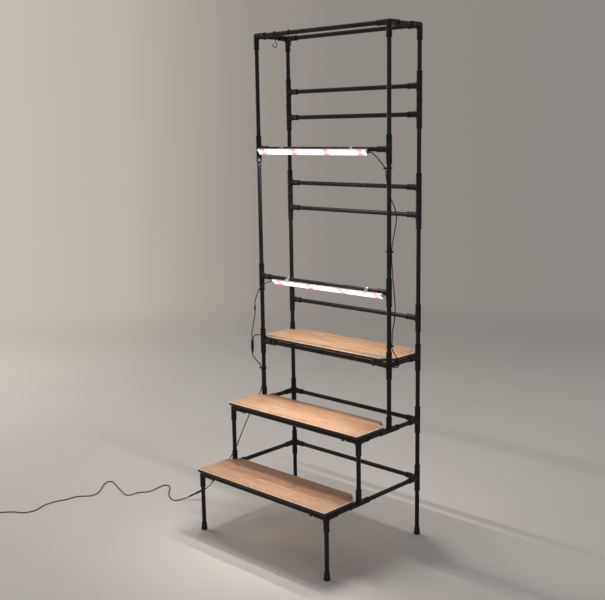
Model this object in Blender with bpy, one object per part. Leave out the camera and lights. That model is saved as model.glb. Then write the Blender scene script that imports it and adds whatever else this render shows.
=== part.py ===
"""Plant stand: three stepped shelves under an open tube tower with two grow light bars.

Metres, +Z up, origin on the floor under the middle of the stand. The shelves
step down towards -Y, and +X is the stand's right side seen from the front.
"""

import math

import bmesh
import bpy
from mathutils import Vector

# Tubes, fittings and the gap between pieces that touch
TUBE_DIAMETER = 0.016
FITTING_DIAMETER = 0.0215
FITTING_ARM = 0.049
SOCKET_DEPTH = 0.030
TOUCH_GAP = 0.0003
WELD_SIZE = 0.00001
QUARTER_STEPS = 3
ROUND_SIDES = 4 * QUARTER_STEPS

# Frame, between tube axes
POST_SPACING = 0.635
TOWER_DEPTH = 0.168
MIDDLE_STEP_DEPTH = 0.168
FRONT_STEP_DEPTH = 0.168
LOW_FRAME_HEIGHT = 0.222
MIDDLE_FRAME_RISE = 0.224
TOWER_SHELF_RISE = 0.237
FIRST_LADDER_RISE = 0.145
LOWER_PAIR_RISE = 0.372
UPPER_PAIR_RISE = 0.253
TOP_RISE = 0.203
LOWER_LIGHT_RISE = 0.260
UPPER_LIGHT_RISE = 0.492

# Feet, black caps that flare at the floor
FOOT_HEIGHT = 0.025
FOOT_FLOOR = 0.004
FOOT_DIAMETER = 0.024
FOOT_NECK_DIAMETER = 0.0205
FOOT_FLARE_BASE = 0.005
FOOT_FLARE_HEIGHT = 0.011

# Boards and the snap clips under their front edges
BOARD_THICKNESS = 0.012
BOARD_END_OVERHANG = 0.0075
BOARD_CORNER_SPACE = 0.003
STEP_BOARD_OVERHANG = 0.017
STEP_BOARD_BACK_OVERHANG = 0.007
TOWER_BOARD_OVERHANG = 0.008
TOWER_BOARD_BACK_OVERHANG = 0.016
CLIP_WIDTH = 0.014
CLIP_WALL = 0.002
CLIP_LIP = 0.002
CLIP_NECK_WIDTH = 0.010
CLIP_ROOT = 0.001
CLIP_LEFT_INSET = 0.066
CLIP_RIGHT_INSET = 0.066
CLIP_MOUTH_ANGLE = math.radians(35)
CLIP_LIP_ANGLE = math.radians(16)
CLIP_NECK_ANGLE = math.radians(58)
CLIP_STEPS = 10

# Grow light bars: a channel with a row of lamps, held on its rail by two clips
LAMP_COUNT = 24
LAMP_PITCH = 0.0228
LAMP_LENGTH = 0.007
LAMP_HEIGHT = 0.0022
STRIP_WIDTH = 0.012
STRIP_THICKNESS = 0.0016
BAR_WIDTH = 0.022
BAR_THICKNESS = 0.010
BAR_FREE_END = 0.005
BAR_LEAD_END = 0.0085
BAR_END_WALL = 0.001
CHANNEL_WIDTH = 0.017
CHANNEL_DEPTH = 0.0042
GLAND_LENGTH = 0.0075
GLAND_DIAMETER = 0.007
GLAND_ROOT = 0.0005
BAR_CLIP_WALL = 0.0025
BAR_CLIP_PLATE = 0.0015
BAR_CLIP_WIDTH = 0.012
BAR_CLIP_ARM = 0.006
BAR_CLIP_SHOULDER = 0.003
BAR_CLIP_MOUTH_ANGLE = math.radians(50)
BAR_CLIP_FLANK_ANGLE = math.radians(62)
UPPER_BAR_SPACE = 0.014
LOWER_BAR_SPACE = 0.0193
UPPER_CLIP_INSETS = (0.130, 0.165)
LOWER_CLIP_INSETS = (0.150, 0.095)
UPPER_BAR_ANGLE = math.radians(35)
LOWER_BAR_ANGLE = math.radians(52)

# S-hooks on the top front rail
HOOK_WIRE = 0.003
HOOK_DROP = 0.049
HOOK_PLACES = (0.098, 0.172)
HOOK_TIP_ANGLE = math.radians(-20)
HOOK_STEPS = 10

# Leads and cords
LEAD_DIAMETER = 0.0036
CORD_DIAMETER = 0.004
JACK_DIAMETER = 0.0066
JACK_LENGTH = 0.024
SPLITTER_DIAMETER = 0.0115
SPLITTER_LENGTH = 0.054
SPLITTER_NOSE = 0.006
PLUG_BARREL_DIAMETER = 0.0095
PLUG_BARREL_LENGTH = 0.040
PLUG_TAPER_LENGTH = 0.038
PLUG_CHAMFER = 0.0015
COIL_TURNS = 4
COIL_LOOP_POINTS = 24
COIL_OUTER_RADIUS = 0.0264
COIL_PITCH = 0.0048
COIL_TAIL = 0.032
ADAPTER_LENGTH = 0.044
ADAPTER_WIDTH = 0.028
ADAPTER_HEIGHT = 0.026
ADAPTER_BEVEL = 0.003
BLADE_LENGTH = 0.016
BLADE_WIDTH = 0.0063
BLADE_THICKNESS = 0.0015
BLADE_SPACING = 0.0127
BLADE_ROOT = 0.002

# Places worked out from the sizes above
TUBE_RADIUS = TUBE_DIAMETER / 2
FITTING_RADIUS = FITTING_DIAMETER / 2
BORE_RADIUS = TUBE_RADIUS + TOUCH_GAP
RIGHT = POST_SPACING / 2
BOARD_LENGTH = POST_SPACING + 2 * BOARD_END_OVERHANG
BOARD_CORNER_ROOM = math.sqrt(2) * (FITTING_RADIUS + BOARD_CORNER_SPACE)
BOARD_CORNER_CUT = BOARD_END_OVERHANG + TOWER_BOARD_BACK_OVERHANG + BOARD_CORNER_ROOM
STEP_BOARD_EXTRA = STEP_BOARD_OVERHANG + STEP_BOARD_BACK_OVERHANG
TOWER_BOARD_DEPTH = TOWER_DEPTH + TOWER_BOARD_OVERHANG + TOWER_BOARD_BACK_OVERHANG
LEFT = -RIGHT
FULL_DEPTH = TOWER_DEPTH + MIDDLE_STEP_DEPTH + FRONT_STEP_DEPTH
BACK = (FULL_DEPTH + STEP_BOARD_OVERHANG - FOOT_DIAMETER / 2) / 2
TOWER_FRONT = BACK - TOWER_DEPTH
MIDDLE = TOWER_FRONT - MIDDLE_STEP_DEPTH
FRONT = MIDDLE - FRONT_STEP_DEPTH
LOW_Z = LOW_FRAME_HEIGHT
MIDDLE_Z = LOW_Z + MIDDLE_FRAME_RISE
SHELF_Z = MIDDLE_Z + TOWER_SHELF_RISE
PAIR_SPACING = 2 * FITTING_ARM
LADDER_1_Z = SHELF_Z + FIRST_LADDER_RISE
LADDER_2_Z = LADDER_1_Z + LOWER_PAIR_RISE
LADDER_3_Z = LADDER_2_Z + PAIR_SPACING
LADDER_4_Z = LADDER_3_Z + UPPER_PAIR_RISE
LADDER_5_Z = LADDER_4_Z + PAIR_SPACING
TOP_Z = LADDER_5_Z + TOP_RISE
LOWER_LIGHT_Z = SHELF_Z + LOWER_LIGHT_RISE
UPPER_LIGHT_Z = LOWER_LIGHT_Z + UPPER_LIGHT_RISE
BOARD_SEAT = FITTING_RADIUS + TOUCH_GAP
POST_FOOT_Z = FOOT_FLOOR + TOUCH_GAP
BAR_LENGTH = (LAMP_COUNT - 1) * LAMP_PITCH + BAR_FREE_END + BAR_LEAD_END
BAR_CLIP_RADIUS = BORE_RADIUS + BAR_CLIP_WALL
BAR_BACK = BAR_CLIP_RADIUS + BAR_CLIP_PLATE - TOUCH_GAP
BAR_AXIS = BAR_BACK + BAR_THICKNESS / 2

ALONG_X = Vector((1, 0, 0))
ALONG_Y = Vector((0, 1, 0))
ALONG_Z = Vector((0, 0, 1))
SIDES = (ALONG_X, -ALONG_X, ALONG_Y, -ALONG_Y, ALONG_Z, -ALONG_Z)


def clear_scene():
    """Removes whatever the file opened with."""
    for thing in list(bpy.data.objects):
        bpy.data.objects.remove(thing)


def surface(name, colour, roughness, metallic, glow=0):
    """A plain surface of one colour, which may shine by itself."""
    made = bpy.data.materials.new(name)
    made.use_nodes = True
    shader = made.node_tree.nodes["Principled BSDF"]
    shader.inputs["Base Color"].default_value = (*colour, 1)
    shader.inputs["Roughness"].default_value = roughness
    shader.inputs["Metallic"].default_value = metallic
    shader.inputs["Emission Color"].default_value = (*colour, 1)
    shader.inputs["Emission Strength"].default_value = glow
    made.diffuse_color = (*colour, 1)
    return made


def add_object(name, mesh, look, place=(0, 0, 0), parent=None, turn=(0, 0, 0)):
    """Puts one named piece into the scene."""
    piece = bpy.data.objects.new(name, mesh)
    piece.location = place
    piece.rotation_euler = turn
    piece.parent = parent
    mesh.materials.append(look)
    bpy.context.scene.collection.objects.link(piece)
    return piece


def finish(shape, name, sharp=math.radians(40)):
    """Turns a closed shape into a mesh whose faces all point out."""
    bmesh.ops.recalc_face_normals(shape, faces=shape.faces)
    mesh = bpy.data.meshes.new(name)
    shape.to_mesh(mesh)
    shape.free()
    mesh.shade_smooth()
    mesh.set_sharp_from_angle(angle=sharp)
    return mesh


class Skin:
    """The outside of one piece, whose faces share the corners that meet."""

    def __init__(self):
        self.shape = bmesh.new()
        self.corners = {}

    def corner(self, point):
        key = tuple(round(value / WELD_SIZE) for value in point)
        if key not in self.corners:
            self.corners[key] = self.shape.verts.new(point)
        return self.corners[key]

    def face(self, points):
        corners = []
        for point in points:
            corner = self.corner(point)
            if corner not in corners:
                corners.append(corner)
        if len(corners) > 2:
            self.shape.faces.new(corners)

    def band(self, first, second):
        """A belt of faces between two rings of as many points."""
        for index in range(len(first)):
            after = (index + 1) % len(first)
            self.face((first[index], first[after], second[after], second[index]))


def across(side):
    """The two directions square to one of the six sides."""
    if side.x:
        return ALONG_Y, ALONG_Z
    if side.y:
        return ALONG_Z, ALONG_X
    return ALONG_X, ALONG_Y


def ring_angles():
    """Angles of the corners round every tube, with a flat on each axis."""
    quarter = math.pi / 2
    return [quarter / 2 + quarter * step / QUARTER_STEPS for step in range(ROUND_SIDES)]


def ring(centre, side, radius):
    """Corners round an axis that points to one of the six sides."""
    first, second = across(side)
    return [
        centre + radius * (math.cos(angle) * first + math.sin(angle) * second)
        for angle in ring_angles()
    ]


def skin_reach(direction, arms):
    """How far a fitting's skin is from its centre, in lengths of the direction."""
    reach = FITTING_RADIUS / direction.length
    for arm in arms:
        along = direction.dot(arm)
        if along > 0:
            reach = max(reach, FITTING_RADIUS / (direction - along * arm).length)
    return reach


def arm_root(centre, arm, arms):
    """Corners where an arm grows out of the middle of its fitting."""
    first, second = across(arm)
    corners = []
    for angle in ring_angles():
        wide = math.cos(angle)
        high = math.sin(angle)
        largest = max(abs(wide), abs(high))
        direction = arm + (wide * first + high * second) / largest
        corners.append(centre + direction * skin_reach(direction, arms))
    return corners


def closed_side(skin, centre, side, arms):
    """The rounded middle of a fitting on a side that has no arm."""
    first, second = across(side)
    eighth = math.pi / 4
    steps = range(QUARTER_STEPS + 1)
    slopes = [math.tan(2 * eighth * step / QUARTER_STEPS - eighth) for step in steps]
    rows = []
    for low in slopes:
        row = []
        for high in slopes:
            direction = side + low * first + high * second
            row.append(centre + direction * skin_reach(direction, arms))
        rows.append(row)
    for i in range(QUARTER_STEPS):
        for j in range(QUARTER_STEPS):
            skin.face((rows[i][j], rows[i + 1][j], rows[i + 1][j + 1], rows[i][j + 1]))


def fitting(skin, centre, arms):
    """The middle of a fitting with a socket on each level arm, without its upright arms' ends."""
    for side in SIDES:
        if side not in arms:
            closed_side(skin, centre, side, arms)
            continue
        mouth = ring(centre + FITTING_ARM * side, side, FITTING_RADIUS)
        skin.band(arm_root(centre, side, arms), mouth)
        if side.z:
            continue
        rim = ring(centre + FITTING_ARM * side, side, BORE_RADIUS)
        floor = ring(centre + (FITTING_ARM - SOCKET_DEPTH) * side, side, BORE_RADIUS)
        skin.band(mouth, rim)
        skin.band(rim, floor)
        skin.face(floor)


def post(name, x, y, levels, look, foot_z=None):
    """An upright: its tube pieces and the fittings that join them, from the bottom up."""
    skin = Skin()
    centres = [Vector((0, 0, height)) for height, arms in levels]
    for centre, (height, arms) in zip(centres, levels):
        fitting(skin, centre, arms)
    for low, high in zip(centres, centres[1:]):
        upright_run(skin, low.z + FITTING_ARM, high.z - FITTING_ARM)
    if foot_z is not None:
        mouth = centres[0] - FITTING_ARM * ALONG_Z
        top = ring(mouth, ALONG_Z, TUBE_RADIUS)
        bottom = ring(Vector((0, 0, foot_z)), ALONG_Z, TUBE_RADIUS)
        skin.band(ring(mouth, ALONG_Z, FITTING_RADIUS), top)
        skin.band(top, bottom)
        skin.face(bottom)
    return add_object(name, finish(skin.shape, name), look, (x, y, 0))


def upright_run(skin, low_z, high_z):
    """The bare tube between two fittings, or nothing where the fittings meet."""
    if high_z - low_z < WELD_SIZE:
        return
    low = Vector((0, 0, low_z))
    high = Vector((0, 0, high_z))
    skin.band(ring(low, ALONG_Z, FITTING_RADIUS), ring(low, ALONG_Z, TUBE_RADIUS))
    skin.band(ring(low, ALONG_Z, TUBE_RADIUS), ring(high, ALONG_Z, TUBE_RADIUS))
    skin.band(ring(high, ALONG_Z, TUBE_RADIUS), ring(high, ALONG_Z, FITTING_RADIUS))


def rail(name, start, side, spacing, look):
    """A level tube between two fittings whose centres are a spacing apart."""
    seat = FITTING_ARM - SOCKET_DEPTH + TOUCH_GAP
    half = spacing / 2 - seat
    skin = Skin()
    ends = [ring(-half * side, side, TUBE_RADIUS), ring(half * side, side, TUBE_RADIUS)]
    skin.band(ends[0], ends[1])
    skin.face(ends[0])
    skin.face(ends[1])
    middle = Vector(start) + side * spacing / 2
    return add_object(name, finish(skin.shape, name), look, middle)


def turned(name, profile, look, place, turn=(0, 0, 0)):
    """A round piece from the radius and height of each corner of its outline."""
    skin = Skin()
    rings = []
    for radius, height in profile:
        centre = Vector((0, 0, height))
        rings.append(ring(centre, ALONG_Z, radius))
    for lower, upper in zip(rings, rings[1:]):
        skin.band(lower, upper)
    skin.face(rings[0])
    skin.face(rings[-1])
    return add_object(name, finish(skin.shape, name), look, place, None, turn)


def extruded(outline, start, end, to_place):
    """A closed shape from an outline in two sizes, pulled along a third."""
    skin = Skin()
    near = [to_place(start, *point) for point in outline]
    far = [to_place(end, *point) for point in outline]
    skin.band(near, far)
    skin.face(near)
    skin.face(far)
    return skin.shape


def lies_along_x(along, forward, up):
    """A point from its place along X, towards the front and up."""
    return Vector((along, -forward, up))


def polar(radius, angle):
    return radius * math.cos(angle), radius * math.sin(angle)


def board_clip_outline():
    """The snap clip seen from its side: a C that is open below, with a neck to the board."""
    outer = BORE_RADIUS + CLIP_WALL
    right_end = CLIP_MOUTH_ANGLE - math.pi / 2
    sweep = math.pi - 2 * right_end
    inside = [
        polar(BORE_RADIUS, right_end + sweep * step / CLIP_STEPS)
        for step in range(CLIP_STEPS + 1)
    ]
    right = [polar(outer + CLIP_LIP, right_end)]
    flank_steps = CLIP_STEPS // 2
    first = right_end + CLIP_LIP_ANGLE
    for step in range(flank_steps + 1):
        angle = first + (CLIP_NECK_ANGLE - first) * step / flank_steps
        right.append(polar(outer, angle))
    neck = CLIP_NECK_WIDTH / 2
    right.append((neck, BOARD_SEAT + CLIP_ROOT))
    left = [(-forward, up) for forward, up in right]
    return inside + left + right[::-1]


def lies_flat(up, along, backward):
    """A point from its height, its place along X and its place towards the back."""
    return Vector((along, backward, up))


def board(name, depth, front_cut, back_cut, front_y, rail_z, clip_xs, clip_y, look):
    """A shelf board whose corners are cut off, with the snap clips that hold its front rail."""
    bottom = rail_z + BOARD_SEAT
    place = Vector((0, front_y + depth / 2, bottom + BOARD_THICKNESS / 2))
    end = BOARD_LENGTH / 2
    back = depth / 2
    right = [
        (end - front_cut, -back),
        (end, front_cut - back),
        (end, back - back_cut),
        (end - back_cut, back),
    ]
    left = [(-along, backward) for along, backward in right]
    outline = right + left[::-1]
    shape = extruded(outline, -BOARD_THICKNESS / 2, BOARD_THICKNESS / 2, lies_flat)
    piece = add_object(name, finish(shape, name), look, place)
    for index, clip_x in enumerate(clip_xs):
        half = CLIP_WIDTH / 2
        clip = extruded(board_clip_outline(), -half, half, lies_along_x)
        clip_name = f"{name}_clip_{index + 1}"
        tool = add_object(clip_name, finish(clip, clip_name), look, (clip_x, clip_y, rail_z))
        join_tool(piece, tool)
    return piece


def join_tool(piece, tool):
    """Joins a helper shape to a piece and hides the helper."""
    tool.hide_render = True
    tool.display_type = "WIRE"
    union = piece.modifiers.new(tool.name, "BOOLEAN")
    union.operation = "UNION"
    union.solver = "EXACT"
    union.object = tool


def channel(free_end, lead_end, direction):
    """The bar's channel: a long box with the trough that the lamps sit in."""
    half = BAR_WIDTH / 2
    trough = CHANNEL_WIDTH / 2
    front = BAR_BACK + BAR_THICKNESS
    floor = front - CHANNEL_DEPTH
    wall = direction * BAR_END_WALL
    skin = Skin()
    rims = []
    for start, end, wide, forward in (
        (free_end, lead_end, half, BAR_BACK),
        (free_end, lead_end, half, front),
        (free_end + wall, lead_end - wall, trough, front),
        (free_end + wall, lead_end - wall, trough, floor),
    ):
        corners = ((start, -wide), (end, -wide), (end, wide), (start, wide))
        rims.append([lies_along_x(along, forward, up) for along, up in corners])
    for first, second in zip(rims, rims[1:]):
        skin.band(first, second)
    skin.face(rims[0])
    skin.face(rims[-1])
    return skin.shape


def bar_clip_outline():
    """The bar's clip seen from its side: a C round the rail and two arms round the bar."""
    mouth = math.pi - BAR_CLIP_MOUTH_ANGLE
    inside = [
        polar(BORE_RADIUS, mouth - 2 * mouth * step / CLIP_STEPS)
        for step in range(CLIP_STEPS + 1)
    ]
    lower = []
    flank_steps = CLIP_STEPS // 2
    for step in range(flank_steps + 1):
        angle = mouth + (BAR_CLIP_FLANK_ANGLE - mouth) * step / flank_steps
        lower.append(polar(BAR_CLIP_RADIUS, -angle))
    plate = BAR_BACK - TOUCH_GAP
    inner = BAR_WIDTH / 2 + TOUCH_GAP
    outer = inner + BAR_CLIP_PLATE
    lower.append((plate - BAR_CLIP_SHOULDER, -outer))
    lower.append((plate + BAR_CLIP_ARM, -outer))
    lower.append((plate + BAR_CLIP_ARM, -inner))
    lower.append((plate, -inner))
    upper = [(forward, -up) for forward, up in lower]
    return inside + lower + upper[::-1]


def lamp_strip_outline(first_lamp, direction):
    """The lamp strip seen from above: a thin board with a block for each lamp."""
    half_lamp = LAMP_LENGTH / 2
    low = STRIP_THICKNESS
    high = STRIP_THICKNESS + LAMP_HEIGHT
    points = []
    for index in range(LAMP_COUNT):
        middle = first_lamp + direction * index * LAMP_PITCH
        points.append((middle - direction * half_lamp, low))
        points.append((middle - direction * half_lamp, high))
        points.append((middle + direction * half_lamp, high))
        points.append((middle + direction * half_lamp, low))
    last = first_lamp + direction * (LAMP_COUNT - 1) * LAMP_PITCH
    points.append((last + direction * (half_lamp + TOUCH_GAP), low))
    points.append((last + direction * (half_lamp + TOUCH_GAP), 0))
    points.append((first_lamp - direction * (half_lamp + TOUCH_GAP), 0))
    points.append((first_lamp - direction * (half_lamp + TOUCH_GAP), low))
    return points


def light_bar(prefix, rail_z, free_end, direction, angle, clip_insets, looks):
    """One grow light bar on its rail, all its pieces on an empty on the rail's axis."""
    axis = bpy.data.objects.new(f"{prefix}_axis", None)
    axis.location = (0, TOWER_FRONT, rail_z)
    axis.rotation_euler = (angle, 0, 0)
    bpy.context.scene.collection.objects.link(axis)
    lead_end = free_end + direction * BAR_LENGTH
    shape = channel(free_end, lead_end, direction)
    housing = add_object(f"{prefix}_housing", finish(shape, prefix), looks["bar"], parent=axis)
    gland = Skin()
    face = Vector((lead_end - direction * GLAND_ROOT, -BAR_AXIS, 0))
    tip = Vector((lead_end + direction * GLAND_LENGTH, -BAR_AXIS, 0))
    ends = [ring(face, ALONG_X, GLAND_DIAMETER / 2), ring(tip, ALONG_X, GLAND_DIAMETER / 2)]
    gland.band(ends[0], ends[1])
    gland.face(ends[0])
    gland.face(ends[1])
    gland_name = f"{prefix}_gland"
    tool = add_object(gland_name, finish(gland.shape, gland_name), looks["bar"], parent=axis)
    join_tool(housing, tool)
    floor = BAR_BACK + BAR_THICKNESS - CHANNEL_DEPTH + TOUCH_GAP

    def on_strip(up, along, forward):
        return Vector((along, -floor - forward, up))

    first_lamp = free_end + direction * BAR_FREE_END
    outline = lamp_strip_outline(first_lamp, direction)
    strip = extruded(outline, -STRIP_WIDTH / 2, STRIP_WIDTH / 2, on_strip)
    add_object(f"{prefix}_lamps", finish(strip, f"{prefix}_lamps"), looks["lamp"], parent=axis)
    half = BAR_CLIP_WIDTH / 2
    for side, middle in (("left", LEFT + clip_insets[0]), ("right", RIGHT - clip_insets[1])):
        clip = extruded(bar_clip_outline(), middle - half, middle + half, lies_along_x)
        clip_name = f"{prefix}_clip_{side}"
        add_object(clip_name, finish(clip, clip_name), looks["clip"], parent=axis)
    return axis


def bar_end(rail_z, angle, lead_end, direction):
    """Where a light bar's lead leaves its gland."""
    forward, drop = polar(BAR_AXIS, angle)
    tip = lead_end + direction * (GLAND_LENGTH + TOUCH_GAP)
    return Vector((tip, TOWER_FRONT - forward, rail_z - drop))


def tube_along(name, points, diameter, look, resolution=2, radii=None, place=(0, 0, 0)):
    """A round piece along a chain of points, with flat ends."""
    line = bpy.data.curves.new(name, "CURVE")
    line.dimensions = "3D"
    line.bevel_depth = diameter / 2
    line.bevel_resolution = resolution
    line.use_fill_caps = True
    spline = line.splines.new("POLY")
    spline.points.add(len(points) - 1)
    for index, point in enumerate(points):
        spline.points[index].co = (*point, 1)
        if radii:
            spline.points[index].radius = radii[index] * 2 / diameter
    spline.use_smooth = True
    return add_object(name, line, look, place)


def smooth_line(route, spacing):
    """Points at even steps on a smooth curve through a route, with a straight run at each end."""
    chain = [Vector(point) for point in route]
    fine = []
    divisions = 24
    for index in range(1, len(chain) - 2):
        p0, p1, p2, p3 = chain[index - 1 : index + 3]
        t1 = math.sqrt((p1 - p0).length)
        t2 = t1 + math.sqrt((p2 - p1).length)
        t3 = t2 + math.sqrt((p3 - p2).length)
        for division in range(divisions):
            t = t1 + (t2 - t1) * division / divisions
            a1 = p0.lerp(p1, t / t1)
            a2 = p1.lerp(p2, (t - t1) / (t2 - t1))
            a3 = p2.lerp(p3, (t - t2) / (t3 - t2))
            b1 = a1.lerp(a2, t / t2)
            b2 = a2.lerp(a3, (t - t1) / (t3 - t1))
            fine.append(b1.lerp(b2, (t - t1) / (t2 - t1)))
    fine.append(chain[-2])
    lengths = [0]
    for first, second in zip(fine, fine[1:]):
        lengths.append(lengths[-1] + (second - first).length)
    count = max(2, round(lengths[-1] / spacing))
    points = [chain[0]]
    index = 0
    for step in range(count + 1):
        wanted = lengths[-1] * step / count
        while index < len(fine) - 2 and lengths[index + 1] < wanted:
            index += 1
        share = (wanted - lengths[index]) / (lengths[index + 1] - lengths[index])
        points.append(fine[index].lerp(fine[index + 1], min(1, share)))
    points.append(chain[-1])
    ends = (chain[1] - chain[0]).length + (chain[-1] - chain[-2]).length
    return points, lengths[-1] + ends


def hook_line():
    """The S of a hook in Y and Z: two equal loops, the upper one round the rail."""
    radius = TUBE_RADIUS + TOUCH_GAP + HOOK_WIRE / 2
    drop = HOOK_DROP - radius - HOOK_WIRE / 2
    leave = math.pi + math.asin(2 * radius / drop)
    upper = []
    for step in range(HOOK_STEPS + 1):
        angle = HOOK_TIP_ANGLE + (leave - HOOK_TIP_ANGLE) * step / HOOK_STEPS
        forward, up = polar(radius, angle)
        upper.append(Vector((0, forward, up)))
    centre = Vector((0, 0, -drop))
    lower = [centre - point for point in upper]
    return upper + lower[::-1]


def coil_line(start, heading):
    """The wound cord: two turns spiral in on the floor, two spiral out above them."""
    turn_points = COIL_LOOP_POINTS
    half_turns = COIL_TURNS / 2
    total = COIL_TURNS * turn_points
    side = Vector((-heading.y, heading.x, 0))
    centre = start + side * COIL_OUTER_RADIUS + heading * CORD_DIAMETER
    points = [start]
    for step in range(total + 1):
        turns = step / turn_points
        inward = min(turns, COIL_TURNS - turns)
        radius = COIL_OUTER_RADIUS - inward * COIL_PITCH
        climb = min(1, max(0, (turns - half_turns) * 2 + 0.5))
        angle = 2 * math.pi * turns
        sideways = radius * math.cos(angle)
        ahead = radius * math.sin(angle)
        lift = Vector((0, 0, climb * COIL_PITCH))
        points.append(centre - side * sideways + heading * ahead + lift)
    points.append(points[-1] + heading * COIL_TAIL)
    return points


def least_gap(points, diameter):
    """The smallest space between stretches of a wound cord that lie apart along it."""
    far = 3 * diameter
    lengths = [0]
    for first, second in zip(points, points[1:]):
        lengths.append(lengths[-1] + (second - first).length)
    smallest = math.inf
    for index, point in enumerate(points):
        for other in range(index + 1, len(points) - 1):
            if lengths[other] - lengths[index] < far:
                continue
            start, end = points[other], points[other + 1]
            line = end - start
            share = (point - start).dot(line) / line.length_squared
            nearest = start + line * min(1, max(0, share))
            smallest = min(smallest, (point - nearest).length - diameter)
    return smallest


clear_scene()

POST_LOOK = surface("black_tube_and_fittings", (0.018, 0.019, 0.023), 0.42, 0.0)
RAIL_LOOK = surface("black_rail", (0.016, 0.017, 0.021), 0.38, 0.3)
FOOT_LOOK = surface("foot_rubber", (0.02, 0.02, 0.02), 0.7, 0.0)
BOARD_LOOK = surface("board_wood", (0.62, 0.40, 0.24), 0.5, 0.0)
BAR_LOOK = surface("light_channel", (0.75, 0.75, 0.76), 0.35, 0.6)
LAMP_LOOK = surface("lamps", (1.0, 0.95, 0.93), 0.3, 0.0, 4)
CLIP_LOOK = surface("clear_clip", (0.72, 0.72, 0.74), 0.3, 0.0)
HOOK_LOOK = surface("hook_wire", (0.045, 0.040, 0.032), 0.4, 0.6)
CORD_LOOK = surface("black_cord", (0.015, 0.015, 0.017), 0.5, 0.0)
PLUG_LOOK = surface("black_plug", (0.02, 0.02, 0.023), 0.4, 0.0)
LIGHT_LOOKS = {"bar": BAR_LOOK, "lamp": LAMP_LOOK, "clip": CLIP_LOOK}

# Uprights: the sides on which each fitting has an arm, from the bottom up
for side_name, x, inward in (("left", LEFT, ALONG_X), ("right", RIGHT, -ALONG_X)):
    both = (ALONG_Z, -ALONG_Z)
    back_corner = (*both, inward, -ALONG_Y)
    ladder_tee = (*both, inward)
    post(
        f"back_post_{side_name}",
        x,
        BACK,
        [
            (LOW_Z, back_corner),
            (MIDDLE_Z, back_corner),
            (SHELF_Z, back_corner),
            (LADDER_1_Z, ladder_tee),
            (LADDER_2_Z, ladder_tee),
            (LADDER_3_Z, ladder_tee),
            (LADDER_4_Z, ladder_tee),
            (LADDER_5_Z, ladder_tee),
            (TOP_Z, (-ALONG_Z, inward, -ALONG_Y)),
        ],
        POST_LOOK,
        POST_FOOT_Z,
    )
    post(
        f"tower_post_{side_name}",
        x,
        TOWER_FRONT,
        [
            (MIDDLE_Z, (ALONG_Z, ALONG_Y, -ALONG_Y)),
            (SHELF_Z, (*both, inward, ALONG_Y)),
            (LOWER_LIGHT_Z, ladder_tee),
            (UPPER_LIGHT_Z, ladder_tee),
            (TOP_Z, (-ALONG_Z, inward, ALONG_Y)),
        ],
        POST_LOOK,
    )
    post(
        f"middle_post_{side_name}",
        x,
        MIDDLE,
        [
            (LOW_Z, (ALONG_Z, ALONG_Y, -ALONG_Y)),
            (MIDDLE_Z, (-ALONG_Z, inward, ALONG_Y)),
        ],
        POST_LOOK,
    )
    post(
        f"front_leg_{side_name}",
        x,
        FRONT,
        [(LOW_Z, (-ALONG_Z, inward, ALONG_Y))],
        POST_LOOK,
        POST_FOOT_Z,
    )
    low_depth = TOWER_DEPTH + MIDDLE_STEP_DEPTH
    rail(f"top_rail_{side_name}", (x, TOWER_FRONT, TOP_Z), ALONG_Y, TOWER_DEPTH, RAIL_LOOK)
    rail(f"shelf_rail_{side_name}", (x, TOWER_FRONT, SHELF_Z), ALONG_Y, TOWER_DEPTH, RAIL_LOOK)
    rail(f"middle_rail_{side_name}_back", (x, TOWER_FRONT, MIDDLE_Z), ALONG_Y, TOWER_DEPTH, RAIL_LOOK)
    rail(f"middle_rail_{side_name}_front", (x, MIDDLE, MIDDLE_Z), ALONG_Y, MIDDLE_STEP_DEPTH, RAIL_LOOK)
    rail(f"low_rail_{side_name}_back", (x, MIDDLE, LOW_Z), ALONG_Y, low_depth, RAIL_LOOK)
    rail(f"low_rail_{side_name}_front", (x, FRONT, LOW_Z), ALONG_Y, FRONT_STEP_DEPTH, RAIL_LOOK)

# Cross rails
for rail_name, y, z in (
    ("top_rail_front", TOWER_FRONT, TOP_Z),
    ("top_rail_back", BACK, TOP_Z),
    ("light_rail_upper", TOWER_FRONT, UPPER_LIGHT_Z),
    ("light_rail_lower", TOWER_FRONT, LOWER_LIGHT_Z),
    ("ladder_rail_1", BACK, LADDER_1_Z),
    ("ladder_rail_2", BACK, LADDER_2_Z),
    ("ladder_rail_3", BACK, LADDER_3_Z),
    ("ladder_rail_4", BACK, LADDER_4_Z),
    ("ladder_rail_5", BACK, LADDER_5_Z),
    ("shelf_rail_front", TOWER_FRONT, SHELF_Z),
    ("shelf_rail_back", BACK, SHELF_Z),
    ("middle_rail_front", MIDDLE, MIDDLE_Z),
    ("middle_rail_back", BACK, MIDDLE_Z),
    ("low_rail_front", FRONT, LOW_Z),
    ("low_rail_back", BACK, LOW_Z),
):
    rail(rail_name, (LEFT, y, z), ALONG_X, POST_SPACING, RAIL_LOOK)

# Feet, open at the top for the leg
FOOT_PROFILE = (
    (FOOT_DIAMETER / 2, 0),
    (FOOT_DIAMETER / 2, FOOT_FLARE_BASE),
    (FOOT_NECK_DIAMETER / 2, FOOT_FLARE_HEIGHT),
    (FOOT_NECK_DIAMETER / 2, FOOT_HEIGHT),
    (BORE_RADIUS, FOOT_HEIGHT),
    (BORE_RADIUS, FOOT_FLOOR),
)
for foot_name, x, y in (
    ("foot_front_left", LEFT, FRONT),
    ("foot_front_right", RIGHT, FRONT),
    ("foot_back_left", LEFT, BACK),
    ("foot_back_right", RIGHT, BACK),
):
    turned(foot_name, FOOT_PROFILE, FOOT_LOOK, (x, y, 0))

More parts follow.
